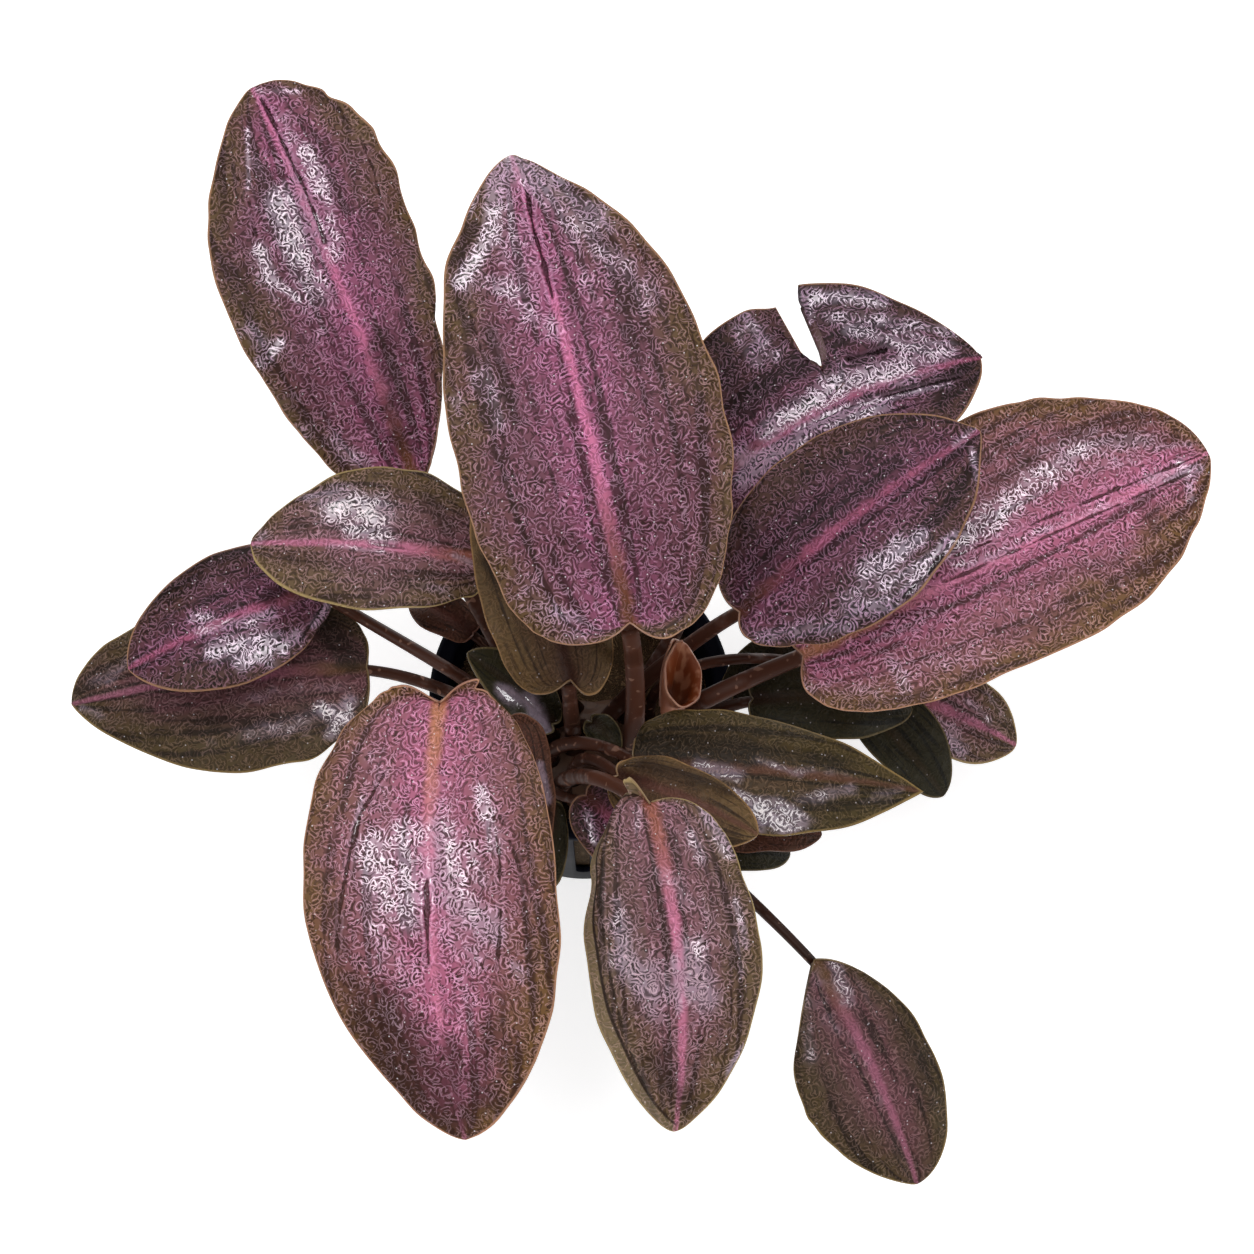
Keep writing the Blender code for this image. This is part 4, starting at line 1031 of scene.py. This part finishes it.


# %% Colours of the blades
# In each palette, the pale ridge colour is that of the painted highlight on the ridges.
PALETTES = {
    "mauve": {"glow": tone(150, 82, 114), "body": tone(106, 64, 76), "edge": tone(94, 72, 47),
              "dark": tone(40, 22, 17), "ridge_highlight": tone(234, 192, 214), "rib": tone(212, 120, 158),
              "foot": tone(110, 66, 40), "under": tone(116, 74, 70), "margin": tone(176, 134, 104),
              "line": 1.0},
    "rose": {"glow": tone(178, 100, 130), "body": tone(134, 84, 92), "edge": tone(110, 80, 50),
             "dark": tone(52, 31, 25), "ridge_highlight": tone(240, 200, 218), "rib": tone(216, 128, 158),
             "foot": tone(186, 124, 92), "under": tone(126, 80, 74), "margin": tone(186, 138, 108),
             "line": 1.0},
    "plum": {"glow": tone(108, 60, 80), "body": tone(72, 46, 50), "edge": tone(76, 52, 46),
             "dark": tone(22, 12, 10), "ridge_highlight": tone(204, 160, 186), "rib": tone(172, 90, 120),
             "foot": tone(84, 48, 38), "under": tone(92, 54, 54), "margin": tone(160, 120, 92),
             "line": 1.0},
    "heath": {"glow": tone(130, 86, 96), "body": tone(98, 74, 68), "edge": tone(98, 78, 54),
              "dark": tone(40, 27, 20), "ridge_highlight": tone(222, 186, 194), "rib": tone(206, 122, 152),
              "foot": tone(150, 90, 74), "under": tone(112, 80, 68), "margin": tone(170, 146, 100),
              "line": 0.9},
    "olive": {"glow": tone(82, 61, 43), "body": tone(65, 54, 34), "edge": tone(74, 62, 36),
              "dark": tone(26, 21, 14), "ridge_highlight": tone(164, 140, 116), "rib": tone(98, 64, 52),
              "foot": tone(90, 58, 42), "under": tone(90, 66, 50), "margin": tone(140, 116, 72),
              "line": 0.6},
    "dusk": {"glow": tone(106, 66, 74), "body": tone(78, 60, 50), "edge": tone(74, 60, 38),
             "dark": tone(28, 20, 14), "ridge_highlight": tone(178, 146, 136), "rib": tone(160, 96, 118),
             "foot": tone(100, 72, 46), "under": tone(90, 66, 50), "margin": tone(140, 116, 72),
             "line": 0.7},
    "moss": {"glow": tone(40, 37, 22), "body": tone(29, 26, 14), "edge": tone(42, 38, 21),
             "dark": tone(12, 10, 5), "ridge_highlight": tone(96, 88, 66), "rib": tone(50, 40, 26),
             "foot": tone(38, 24, 15), "under": tone(42, 32, 22), "margin": tone(100, 86, 58),
             "line": 0.3},
    "khaki": {"glow": tone(84, 60, 44), "body": tone(76, 58, 40), "edge": tone(100, 78, 50),
              "dark": tone(38, 26, 18), "ridge_highlight": tone(130, 104, 80), "rib": tone(96, 60, 52),
              "foot": tone(54, 30, 22), "under": tone(92, 68, 48), "margin": tone(150, 116, 78),
              "line": 0.4},
    "russet": {"glow": tone(88, 50, 40), "body": tone(70, 42, 32), "edge": tone(80, 52, 38),
               "dark": tone(30, 16, 11), "ridge_highlight": tone(140, 102, 88), "rib": tone(98, 58, 48),
               "foot": tone(60, 32, 24), "under": tone(80, 42, 32), "margin": tone(110, 72, 54),
               "line": 0.5},
}
HEM_TONE = tone(158, 140, 106)
HEM = 1.7 * MM
# Tint of the painted sheen on wet places.
PAINTED_SHEEN = tone(208, 186, 208)
# Colour of the painted glints.
GLINT_WHITE = tone(236, 226, 232)

# %% Streaks along the side veins
STREAK_FAN = (11, 6)
STREAK_LENGTH = 1.8
STREAK_SHIFT = 9


def long_streaks(finish, flat, place):
    """Soft streaks that fan out from the foot of the midrib, as the side veins do."""
    across = finish.split(place)
    margin = finish.split(place, 2)
    part = finish.split(flat, 2) / MM
    fan = across / (abs(across) + margin + 0.1 * MM) * (STREAK_FAN[0] - part * STREAK_FAN[1])
    spots = {0: fan, 1: part * STREAK_LENGTH, 2: finish.split(flat) * STREAK_SHIFT}
    return finish.grain(finish.node("ShaderNodeCombineXYZ", None, spots), 1, detail=3)


# %% Upper skin of a blade
RIB_WIDE = 1.45 * MM
RIB_THIN = 0.45 * MM
GLOW_REACH = 11 * MM
FOOT_COLOUR = (0.38, 0.05)
MARGIN_LINE = 0.32 * MM
MARGIN_BAND = 8 * MM
FURROW_WOBBLE = 1.4 * MM
FURROW_LIP = 0.2 * MM
EDGE_WOBBLE = 14 * MM
CLEFT_WIDTH = (0.12 * MM, 0.5 * MM)
CLEFT_FLOOR = 0.05 * MM
# Width of the painted highlight along a furrow's lip.
LIP_HIGHLIGHT = (0.3 * MM, 0.05 * MM)
HEM_SHADOW_LINE = (0.3 * MM, 0.1 * MM)
# Gain of the painted highlight on the ridges.
RIDGE_HIGHLIGHT_GAIN = (2.7, 2.5, 3.3)


def upper_skin(name, palette):
    """Body colours first, then midrib, painted sheen and painted shade of the patches, painted highlights
    on the ridges and painted shade in the troughs, furrows with painted shade and lips, painted glints and
    margin.
    """
    finish = Finish(name, {"Specular IOR Level": 0.12, "Coat IOR": 2.2, "Coat Roughness": 0.1})
    flat = finish.attribute("flat")
    part = finish.split(flat, 2) / MM
    place = finish.attribute("place")
    beside = abs(finish.split(place))
    margin = finish.split(place, 2)
    furrow = finish.attribute("furrow")
    depth = finish.split(furrow, 1)
    wet_and_sheen = finish.split(furrow, 2)
    jitter = finish.grain(flat, 260, detail=3) - 0.5
    gap = finish.split(furrow) + jitter * FURROW_WOBBLE
    half_cleft = depth * CLEFT_WIDTH[1] + CLEFT_WIDTH[0]
    cleft_and_shade = finish.smooth(gap, half_cleft, CLEFT_FLOOR) * depth
    lip = finish.smooth(abs(gap - half_cleft - FURROW_LIP), *LIP_HIGHLIGHT) * depth
    lip = lip * finish.grain(flat, 200)
    ridges_and_highlights, troughs_and_shade = crinkles(finish, flat)
    glints = specks(finish, flat)
    patches = finish.grain(flat, PATCH_SCALE, detail=3)
    blots = finish.grain(flat, BLOT_SCALE, detail=2)
    streaks = long_streaks(finish, flat, place)

    inner = finish.smooth(margin + (patches - 0.5) * EDGE_WOBBLE, 0, MARGIN_BAND)
    near = finish.smooth(beside + (streaks - 0.5) * EDGE_WOBBLE, GLOW_REACH, 1 * MM)
    colour = finish.mix(inner, palette["edge"], palette["body"])
    colour = finish.mix(near * inner * 0.85, colour, palette["glow"])
    dark_streaks = finish.smooth(streaks + (blots - 0.5) * 0.3, 0.5, 0.36)
    colour = finish.mix(dark_streaks * 0.8, colour, palette["dark"])

    width = (1 - part) * (RIB_WIDE - RIB_THIN) + RIB_THIN
    rib = finish.smooth(beside / width + (blots - 0.5) * 0.8, 1.3, 0.3) * (0.95 - part * 0.4)
    rib_colour = finish.mix(finish.smooth(part, *FOOT_COLOUR), palette["rib"], palette["foot"])
    colour = finish.mix(rib, colour, rib_colour)

    # Painted sheen: a milky lilac tint laid on the colour where the leaf is wet.
    sheen = finish.smooth(wet_and_sheen + (blots - 0.5) * 0.8, 0.1, 0.9)
    colour = finish.mix(sheen * 0.36, colour, PAINTED_SHEEN)
    # Painted shade of the dark patches, which also hold the leaf's own darker colour.
    shade = finish.attribute("shade", "Fac")
    shade = finish.smooth(shade + (blots - 0.5) * 0.7, 0.15, 0.85)
    colour = finish.mix(shade * 0.8, colour, palette["dark"])
    # Painted highlight: the colour made lighter for the ridges and furrow lips, lightest where the leaf is wet.
    light = finish.node("ShaderNodeVectorMath", {"operation": "MULTIPLY"}, {0: colour, 1: RIDGE_HIGHLIGHT_GAIN})
    light = finish.mix(0.25 + inner * 0.2 + wet_and_sheen * 0.55, light, palette["ridge_highlight"])
    drawing = (1 - rib * 0.55) * palette["line"]
    # Painted shade darkens the troughs, and a painted highlight lightens the ridges.
    trough_shade_strength = 0.6 + (blots - 0.4) * 1.2 + wet_and_sheen * 0.15
    colour = finish.mix(troughs_and_shade * trough_shade_strength * drawing, colour, palette["dark"])
    ridge_highlight_strength = 0.6 + (blots - 0.5) * 0.9 + wet_and_sheen * 0.5 - shade * 0.2
    colour = finish.mix(ridges_and_highlights * ridge_highlight_strength * drawing, colour, light)
    # Painted highlight on the lips of each furrow, and painted shade in its crease.
    colour = finish.mix(lip * 0.55, colour, light)
    colour = finish.mix(finish.smooth(cleft_and_shade, 0.05, 0.4) * 0.8, colour, palette["dark"])
    # Painted glints: tiny near-white dots.
    colour = finish.mix(glints * 0.75 * palette["line"], colour, GLINT_WHITE)
    hem = finish.attribute("hem", "Fac")
    colour = finish.mix(finish.smooth(margin, HEM, HEM - 0.2 * MM) * hem * 0.35, colour, HEM_TONE)
    # Painted shadow: a dark line along the inner edge of the folded margin.
    colour = finish.mix(finish.smooth(abs(margin - HEM), *HEM_SHADOW_LINE) * hem, colour, palette["dark"])
    colour = finish.mix(finish.smooth(margin, MARGIN_LINE, 0.08 * MM), colour, palette["margin"])
    finish.drive("Base Color", colour)
    finish.drive("Roughness", 0.36 + patches * 0.16)
    film = wet_and_sheen * (0.45 + ridges_and_highlights * 0.55) + (blots - 0.5) * 0.8 + lip * 0.3 - troughs_and_shade * 0.15 - shade * 0.2
    finish.drive("Coat Weight", finish.smooth(film, 0.28, 0.62))
    finish.bump(ridges_and_highlights * 0.05 - troughs_and_shade * 0.03 + blots * 0.1 - cleft_and_shade * 0.25 + lip * 0.1, MM)
    return finish.material


# %% Underside and margin of a blade
def lower_skin(name, palette):
    """The paler underside, with its veins and a trace of the ridges' painted highlights."""
    finish = Finish(name, {"Specular IOR Level": 0.45})
    flat = finish.attribute("flat")
    place = finish.attribute("place")
    ridges_and_highlights, _ = crinkles(finish, flat)
    patches = finish.grain(flat, PATCH_SCALE, detail=3)
    veins = finish.smooth(long_streaks(finish, flat, place), 0.45, 0.6)
    colour = finish.mix(patches, palette["under"], palette["edge"])
    colour = finish.mix(veins * 0.35, colour, palette["body"])
    # A faint painted highlight on the ridges.
    colour = finish.mix(ridges_and_highlights * 0.2, colour, palette["ridge_highlight"])
    finish.drive("Base Color", colour)
    finish.drive("Roughness", 0.42 + patches * 0.16)
    finish.bump(ridges_and_highlights * 0.02 + patches * 0.2, MM)
    return finish.material


def margin_skin(name, palette):
    finish = Finish(name, {"Roughness": 0.35})
    where = finish.object_place()
    patches = finish.grain(where, 260)
    finish.drive("Base Color", finish.mix(patches, palette["under"], palette["margin"]))
    return finish.material


leaf_finishes = {}
for palette_name, palette in PALETTES.items():
    upper = upper_skin(palette_name + " leaf, upper side", palette)
    lower = lower_skin(palette_name + " leaf, underside", palette)
    margin = margin_skin(palette_name + " leaf, margin", palette)
    leaf_finishes[palette_name] = (upper, lower, margin)
print("blade finishes:", len(leaf_finishes))

# %% [markdown]
# ## The finish of the stalks
#
# The stalks are smooth, juicy and red-brown, with fine pale specks. They are lit by whatever light falls
# between the blades, so their colour gets painted shade, darker towards the foot, and their gloss is kept low.

# %% Stalk skin
def stalk_skin():
    finish = Finish("leaf stalk", {"Specular IOR Level": 0.14})
    where = finish.object_place()
    height = finish.split(where, 2)
    patches = finish.grain(where, 140, detail=3.0)
    specks = finish.smooth(finish.grain(where, 900, detail=0.0), 0.7, 0.78)
    # Painted shade: darker towards the foot, deep among the stalks.
    out_of_shade = finish.smooth(height + (patches - 0.5) * (20 * MM), 46 * MM, 80 * MM)
    colour = finish.mix(out_of_shade, tone(38, 20, 14), tone(86, 50, 36))
    colour = finish.mix(patches * 0.6, colour, tone(52, 30, 22))
    colour = finish.mix(specks * 0.5, colour, tone(150, 112, 94))
    finish.drive("Base Color", colour)
    finish.drive("Roughness", 0.36 + patches * 0.12)
    finish.bump(patches + specks, 0.05 * MM, 0.5)
    return finish.material


stalk_finish = stalk_skin()

# %% [markdown]
# ## All the leaves
#
# With the formula and the finishes ready, growing the rosette is one short loop.

# %% Grow the rosette
faces = 0
for leaf in LEAVES:
    blade = grow_blade(leaf, leaf_finishes[leaf.palette])
    stalk = grow_stalk(leaf, stalk_finish)
    faces += 4 * len(blade.data.polygons) + 2 * len(stalk.data.polygons)
print("triangles in the rosette, about:", faces)

# %% [markdown]
# ## The young rolled leaf
#
# A young Lagenandra leaf comes up rolled like a paper cone and then opens on one side. It is one sheet wound
# once and a bit, whose front edge lies low and curls over like a lip. A grid wound round the cone's axis
# keeps it a single sheet, as the real one is.

# %% Roll the young leaf
ROLLED_BASE = Vector((14.6, -8.4, 64.6)) * MM
ROLLED_TOP = Vector((16.6, -5.0, 84)) * MM
ROLLED_FOOT = (12.0 * MM, -12.6 * MM)
ROLLED_NARROW = 1.0 * MM
ROLLED_WIDE = 2.3 * MM
ROLLED_PITCH = 0.6 * MM
ROLLED_TURNS = 1.15
ROLLED_START = 3.3
ROLLED_SLOPE = 0.62
ROLLED_THICKNESS = 0.35 * MM
ROLLED_RISE = 6 * MM
ROLLED_APPROACH = 5 * MM
ROLLED_STEPS = 110
ROLLED_ROWS = 60
ROLLED_STALK = tuple(radius * MM for radius in FINE_STALK)
CURL = 1.3 * MM
CURL_PLACE = 0.58
CURL_SPREAD = 0.25
FRILL = 0.1 * MM
FRILL_WAVES = 7
STREAK_STRETCH = (1, 1, 0.15)


def young_skin(name, light, dark):
    finish = Finish(name, {"Specular IOR Level": 0.5})
    where = finish.object_place()
    patches = finish.grain(where, 180, detail=3.0)
    drawn_out = finish.node("ShaderNodeMapping", None, {"Vector": where, "Scale": STREAK_STRETCH})
    streaks = finish.grain(drawn_out, 700)
    colour = finish.mix(patches, light, dark)
    colour = finish.mix(finish.smooth(streaks, 0.5, 0.65) * 0.4, colour, tone(206, 150, 118))
    finish.drive("Base Color", colour)
    finish.drive("Roughness", 0.38 + patches * 0.1)
    finish.bump(streaks, 0.1 * MM, 0.6)
    return finish.material


def roll_young_leaf():
    axis = (ROLLED_TOP - ROLLED_BASE).normalized()
    front = (Vector((0, -1, 0)) - axis * -axis.y).normalized()
    beside = axis.cross(front)
    shape = bmesh.new()
    bmesh.ops.create_grid(shape, x_segments=ROLLED_STEPS, y_segments=ROLLED_ROWS, size=1)
    for vertex in shape.verts:
        wound = (vertex.co.x + 1) / 2
        height = (vertex.co.y + 1) / 2
        angle = 2 * math.pi * ROLLED_TURNS * wound + ROLLED_START
        low = 0.5 - 0.5 * math.cos(2 * math.pi * wound)
        top = 1 - ROLLED_SLOPE * low
        swelling = math.sin(math.pi * min(0.12 + 0.6 * height * top, 1)) ** 1.5
        radius = ROLLED_NARROW + (ROLLED_WIDE - ROLLED_NARROW) * swelling + ROLLED_PITCH * wound
        frill = FRILL * math.sin(FRILL_WAVES * angle) * height**3
        radius += CURL * height**7 * hump(wound - CURL_PLACE, CURL_SPREAD) + frill
        outward = front * math.cos(angle) + beside * math.sin(angle)
        vertex.co = ROLLED_BASE + (ROLLED_TOP - ROLLED_BASE) * height * top + outward * radius
    outside = young_skin("young leaf, outside", tone(176, 112, 86), tone(140, 84, 60))
    inside = young_skin("young leaf, inside", tone(134, 66, 30), tone(104, 46, 20))
    bmesh.ops.recalc_face_normals(shape, faces=shape.faces)
    middle = ROLLED_BASE + (ROLLED_TOP - ROLLED_BASE) * 0.5
    if sum(face.normal.dot(face.calc_center_median() - middle) for face in shape.faces) < 0:
        bmesh.ops.reverse_faces(shape, faces=shape.faces)
    piece = new_piece("young_leaf", shape, [outside, inside, leaf_finishes["rose"][2]])
    wall = piece.modifiers.new("Thickness", "SOLIDIFY")
    wall.thickness = ROLLED_THICKNESS
    wall.offset = 0
    wall.material_offset = 1
    wall.material_offset_rim = 2
    settle(piece, "blade_rolled")
    end = ROLLED_BASE + axis * MM
    path = stalk_path(ROLLED_FOOT, ROLLED_RISE, end, axis * ROLLED_APPROACH, ROLLED_STALK)
    young_stalk = new_piece("petiole_young", sweep(path, Vector((0, 1, 0))), [outside])
    settle(young_stalk, "stalk_rolled")
    print("young leaf faces:", len(piece.data.polygons))


roll_young_leaf()

# %% [markdown]
# ## The pot
#
# A nursery pot is moulded in one piece: a tapered cup with a rolled rim and upright slots that let water and
# roots through. Its wall is a profile spun round the axis, and the slots are cut with rounded cutters. The
# cut is applied at once, so that no cutter stays behind in the scene.

# %% Spin the pot and cut its slots
POT_HEIGHT = 50 * MM
POT_TOP_RADIUS = 25 * MM
POT_BASE_RADIUS = 19 * MM
POT_WALL = 1.0 * MM
POT_FLOOR = 1.6 * MM
RIM_WIDTH = 2.2 * MM
RIM_HEIGHT = 3.0 * MM
POT_SIDES = 120
SLOT_COUNT = 10
SLOT_WIDTH = 2.6 * MM
SLOT_LOW = 8 * MM
SLOT_HIGH = 38 * MM
CUTTER_LENGTH = 9 * MM
CUTTER_INSET = 4 * MM
CORNER_ROUNDING = 0.25 * MM
SHARP_EDGE = math.radians(40)


def pot_skin():
    finish = Finish("black pot plastic", {"Specular IOR Level": 0.3, "IOR": 1.05})
    where = finish.object_place()
    wear = finish.grain(where, 120, detail=4.0)
    grain = finish.grain(where, 1500, detail=1.0)
    finish.drive("Base Color", finish.mix(wear, tone(10, 11, 16), tone(24, 25, 34)))
    finish.drive("Roughness", 0.26 + wear * 0.16)
    finish.bump(grain, 0.03 * MM, 0.4)
    return finish.material


def pot_profile():
    """Half the pot's section, as radii and heights, up its outside and down its inside."""
    inner_top = POT_TOP_RADIUS - RIM_WIDTH - POT_WALL
    slope = (POT_TOP_RADIUS - RIM_WIDTH - POT_BASE_RADIUS) / (POT_HEIGHT - RIM_HEIGHT)
    inner_base = POT_BASE_RADIUS + slope * POT_FLOOR - POT_WALL
    return [
        (0, 0),
        (POT_BASE_RADIUS - 1 * MM, 0),
        (POT_BASE_RADIUS, 1 * MM),
        (POT_TOP_RADIUS - RIM_WIDTH, POT_HEIGHT - RIM_HEIGHT),
        (POT_TOP_RADIUS - 0.5 * MM, POT_HEIGHT - RIM_HEIGHT),
        (POT_TOP_RADIUS, POT_HEIGHT - RIM_HEIGHT + 0.7 * MM),
        (POT_TOP_RADIUS, POT_HEIGHT - 0.8 * MM),
        (POT_TOP_RADIUS - 0.8 * MM, POT_HEIGHT),
        (inner_top + 0.5 * MM, POT_HEIGHT),
        (inner_top, POT_HEIGHT - 0.6 * MM),
        (inner_base, POT_FLOOR),
        (0, POT_FLOOR),
    ]


def slot_cutters():
    cutters = bmesh.new()
    half_height = (SLOT_HIGH - SLOT_LOW) / 2
    for index in range(SLOT_COUNT):
        turn = Matrix.Rotation(2 * math.pi * (index + 0.5) / SLOT_COUNT, 4, "Z")
        place = Matrix.Translation((POT_TOP_RADIUS - CUTTER_INSET, 0, SLOT_LOW + half_height))
        size = Matrix.Diagonal((CUTTER_LENGTH, SLOT_WIDTH, 2 * half_height, 1))
        bmesh.ops.create_cube(cutters, size=1, matrix=turn @ place @ size)
    across = [edge for edge in cutters.edges if abs(edge.calc_length() - CUTTER_LENGTH) < 1 * MM]
    bmesh.ops.bevel(cutters, geom=across, offset=SLOT_WIDTH * 0.45, segments=4, profile=0.5, affect="EDGES",
                    material=-1)
    return new_piece("slot_cutters", cutters, [])


def spin_pot():
    shape = bmesh.new()
    corners = [shape.verts.new((radius, 0, height)) for radius, height in pot_profile()]
    for low, high in zip(corners, corners[1:]):
        shape.edges.new((low, high))
    bmesh.ops.bevel(shape, geom=corners[1:-1], offset=CORNER_ROUNDING, segments=3, profile=0.5,
                    affect="VERTICES", material=-1)
    bmesh.ops.spin(shape, geom=shape.verts[:] + shape.edges[:], axis=(0, 0, 1), cent=(0, 0, 0),
                   steps=POT_SIDES, angle=2 * math.pi, use_merge=True)
    bmesh.ops.remove_doubles(shape, verts=shape.verts, dist=0.005 * MM)
    bmesh.ops.recalc_face_normals(shape, faces=shape.faces)
    pot = new_piece("net_pot", shape, [pot_skin()])
    cutter = slot_cutters()
    slots = pot.modifiers.new("Slots", "BOOLEAN")
    slots.solver = "EXACT"
    slots.object = cutter
    view = bpy.context.evaluated_depsgraph_get()
    cut = bpy.data.meshes.new_from_object(pot.evaluated_get(view))
    pot.modifiers.clear()
    pot.data = cut
    pot.data.shade_smooth()
    pot.data.set_sharp_from_angle(angle=SHARP_EDGE)
    bpy.data.objects.remove(cutter)
    settle(pot, "pot")
    print("pot faces:", len(cut.polygons))


spin_pot()

# %% [markdown]
# ## Mineral wool and creeping stem
#
# The wool fills the pot as a matted plug, and the creeping stem lies on it, short and knobbly. They show only
# between the stalks, and the wool through the slots too. A cone and a ball are a fair start for them when
# they are divided finely and every vertex is pushed out or in by noise.

# %% Mat the wool and grow the creeping stem
GAP = 0.15 * MM
PLUG_TOP = 43.5 * MM
WOOL_RINGS = 9
WOOL_STEP = 2 * MM
WOOL_SINK = 0.1 * MM
WOOL_GRAIN = 400
WOOL_ROUGHNESS = 0.25 * MM
TUFT_SCALE = 120
TUFT_HEIGHT = 0.6 * MM
KNOBS = (7, 0.05)
UNEVENNESS = (4, 0.08)


def wool_skin():
    finish = Finish("damp mineral wool", {"Specular IOR Level": 0.2})
    where = finish.object_place()
    mat = finish.grain(where, 260, detail=4.0, distortion=1.5)
    fibres = finish.maths("PINGPONG", finish.grain(where, 240, detail=2.0, distortion=2.5) * 14, 0.5) * 2
    colour = finish.mix(mat, tone(46, 33, 23), tone(112, 88, 60))
    colour = finish.mix(finish.smooth(fibres, 0.7, 0.95) * 0.6, colour, tone(168, 140, 104))
    finish.drive("Base Color", colour)
    finish.drive("Roughness", 0.8 + mat * 0.15)
    finish.bump(fibres + mat, 0.3 * MM, 0.9)
    return finish.material


def bark_skin():
    finish = Finish("creeping stem", {"Specular IOR Level": 0.4})
    where = finish.object_place()
    patches = finish.grain(where, 170, detail=4.0)
    scars = finish.maths("PINGPONG", finish.grain(where, 90, detail=2.0) * 10, 0.5) * 2
    colour = finish.mix(patches, tone(48, 30, 20), tone(110, 74, 48))
    colour = finish.mix(finish.smooth(scars, 0.7, 0.95) * 0.5, colour, tone(60, 34, 24))
    finish.drive("Base Color", colour)
    finish.drive("Roughness", 0.5 + patches * 0.2)
    finish.bump(patches + scars * 0.5, 0.25 * MM, 0.8)
    return finish.material


def inner_wall(height):
    """Radius of the pot's inner wall at a height."""
    (top_radius, top), (base_radius, base) = pot_profile()[-3:-1]
    return base_radius + (top_radius - base_radius) * (height - base) / (top - base)


def mat_wool():
    low = POT_FLOOR + GAP
    shape = bmesh.new()
    bmesh.ops.create_cone(
        shape, cap_ends=True, segments=90, depth=PLUG_TOP - low,
        radius1=inner_wall(low) - GAP,
        radius2=inner_wall(PLUG_TOP) - GAP,
        matrix=Matrix.Translation((0, 0, (PLUG_TOP + low) / 2)),
    )
    top = [face for face in shape.faces if face.normal.z > 0.9]
    for _ in range(WOOL_RINGS):
        bmesh.ops.inset_region(shape, faces=top, thickness=WOOL_STEP, use_even_offset=True)
        top = [face for face in top if face.is_valid]
    upright = [edge for edge in shape.edges if abs(edge.verts[0].co.z - edge.verts[1].co.z) > 20 * MM]
    bmesh.ops.subdivide_edges(shape, edges=upright, cuts=30, use_grid_fill=True)
    for vertex in shape.verts:
        push = noise.noise(vertex.co * WOOL_GRAIN) * WOOL_ROUGHNESS - WOOL_SINK
        if vertex.co.z > PLUG_TOP - 0.1 * MM:
            vertex.co.z += 3 * push + noise.noise(vertex.co * TUFT_SCALE) * TUFT_HEIGHT
        elif vertex.co.z > low + 0.1 * MM:
            vertex.co.x *= 1 + (push - WOOL_SINK) / POT_BASE_RADIUS
            vertex.co.y *= 1 + (push - WOOL_SINK) / POT_BASE_RADIUS
    wool = new_piece("wool", shape, [wool_skin()])
    settle(wool, "growing_plug")
    print("wool faces:", len(wool.data.polygons))


def grow_creeping_stem():
    shape = bmesh.new()
    bmesh.ops.create_uvsphere(shape, u_segments=96, v_segments=48, radius=1)
    for vertex in shape.verts:
        direction = vertex.co.copy()
        around = math.atan2(direction.y, direction.x)
        swell = 1 + KNOBS[1] * math.sin(KNOBS[0] * around) * (1 - direction.z**2)
        swell += UNEVENNESS[1] * noise.noise(direction * UNEVENNESS[0])
        reached = Vector(direction[axis] * RHIZOME_REACH[axis] for axis in range(3))
        vertex.co = RHIZOME_MIDDLE + reached * swell
    stem = new_piece("creeping_stem", shape, [bark_skin()])
    settle(stem, "rhizome")
    print("creeping stem faces:", len(stem.data.polygons))


mat_wool()
grow_creeping_stem()

# %% [markdown]
# ## Floor, light and camera
#
# The photograph is a product shot on white, taken from high in front. A large pale floor, a pale sky and
# four soft boxes give that light. The largest hangs above, where a wet leaf mirrors it back to the camera.

# %% Floor and light
FLOOR_REACH = 3
PLANT_MIDDLE = (0.0, 0.0, 0.07)


def pale_floor():
    shape = bmesh.new()
    bmesh.ops.create_grid(shape, x_segments=1, y_segments=1, size=FLOOR_REACH)
    finish = Finish("pale floor", {"Roughness": 0.9, "Base Color": (0.92, 0.92, 0.92, 1),
                                   "Emission Color": (1, 1, 1, 1), "Emission Strength": 0.5})
    new_piece("floor", shape, [finish.material])


def soft_box(name, place, size, power, aim):
    lamp = bpy.data.lights.new(name, "AREA")
    lamp.shape = "DISK"
    lamp.size = size
    lamp.energy = power
    thing = bpy.data.objects.new(name, lamp)
    thing.location = place
    thing.rotation_euler = (Vector(aim) - Vector(place)).to_track_quat("-Z", "Y").to_euler()
    bpy.context.scene.collection.objects.link(thing)


pale_floor()
soft_box("overhead box", (-0.03, 0.06, 1.25), 1.1, 10.5, PLANT_MIDDLE)
soft_box("left fill", (-1.1, -0.6, 0.75), 0.7, 6.0, PLANT_MIDDLE)
soft_box("right fill", (1.1, -0.5, 0.75), 0.7, 6.0, PLANT_MIDDLE)
soft_box("back fill", (0.1, 1.2, 0.6), 0.7, 4.0, PLANT_MIDDLE)

world = bpy.data.worlds.new("studio")
world.use_nodes = True
sky = world.node_tree.nodes["Background"].inputs
sky["Color"].default_value = (0.95, 0.97, 1.0, 1)
sky["Strength"].default_value = 0.1
bpy.context.scene.world = world
bpy.context.scene.view_settings.view_transform = "Standard"
print("lamps:", len(bpy.data.lights))

# %% Camera
CAMERA_PLACE = Vector((7.7, -147.4, 485.9)) * MM
CAMERA_ELEVATION = math.radians(70)
CAMERA_LENS = 80
SENSOR_WIDTH = 36
view = bpy.data.cameras.new("camera")
view.lens = CAMERA_LENS
view.sensor_width = SENSOR_WIDTH
camera = bpy.data.objects.new("camera", view)
camera.location = CAMERA_PLACE
camera.rotation_euler = (math.pi / 2 - CAMERA_ELEVATION, 0, 0)
bpy.context.scene.collection.objects.link(camera)
bpy.context.scene.camera = camera
print("camera height:", round(camera.location.z, 3), "m")

# %% Bring the scene up to date
bpy.context.view_layer.update()
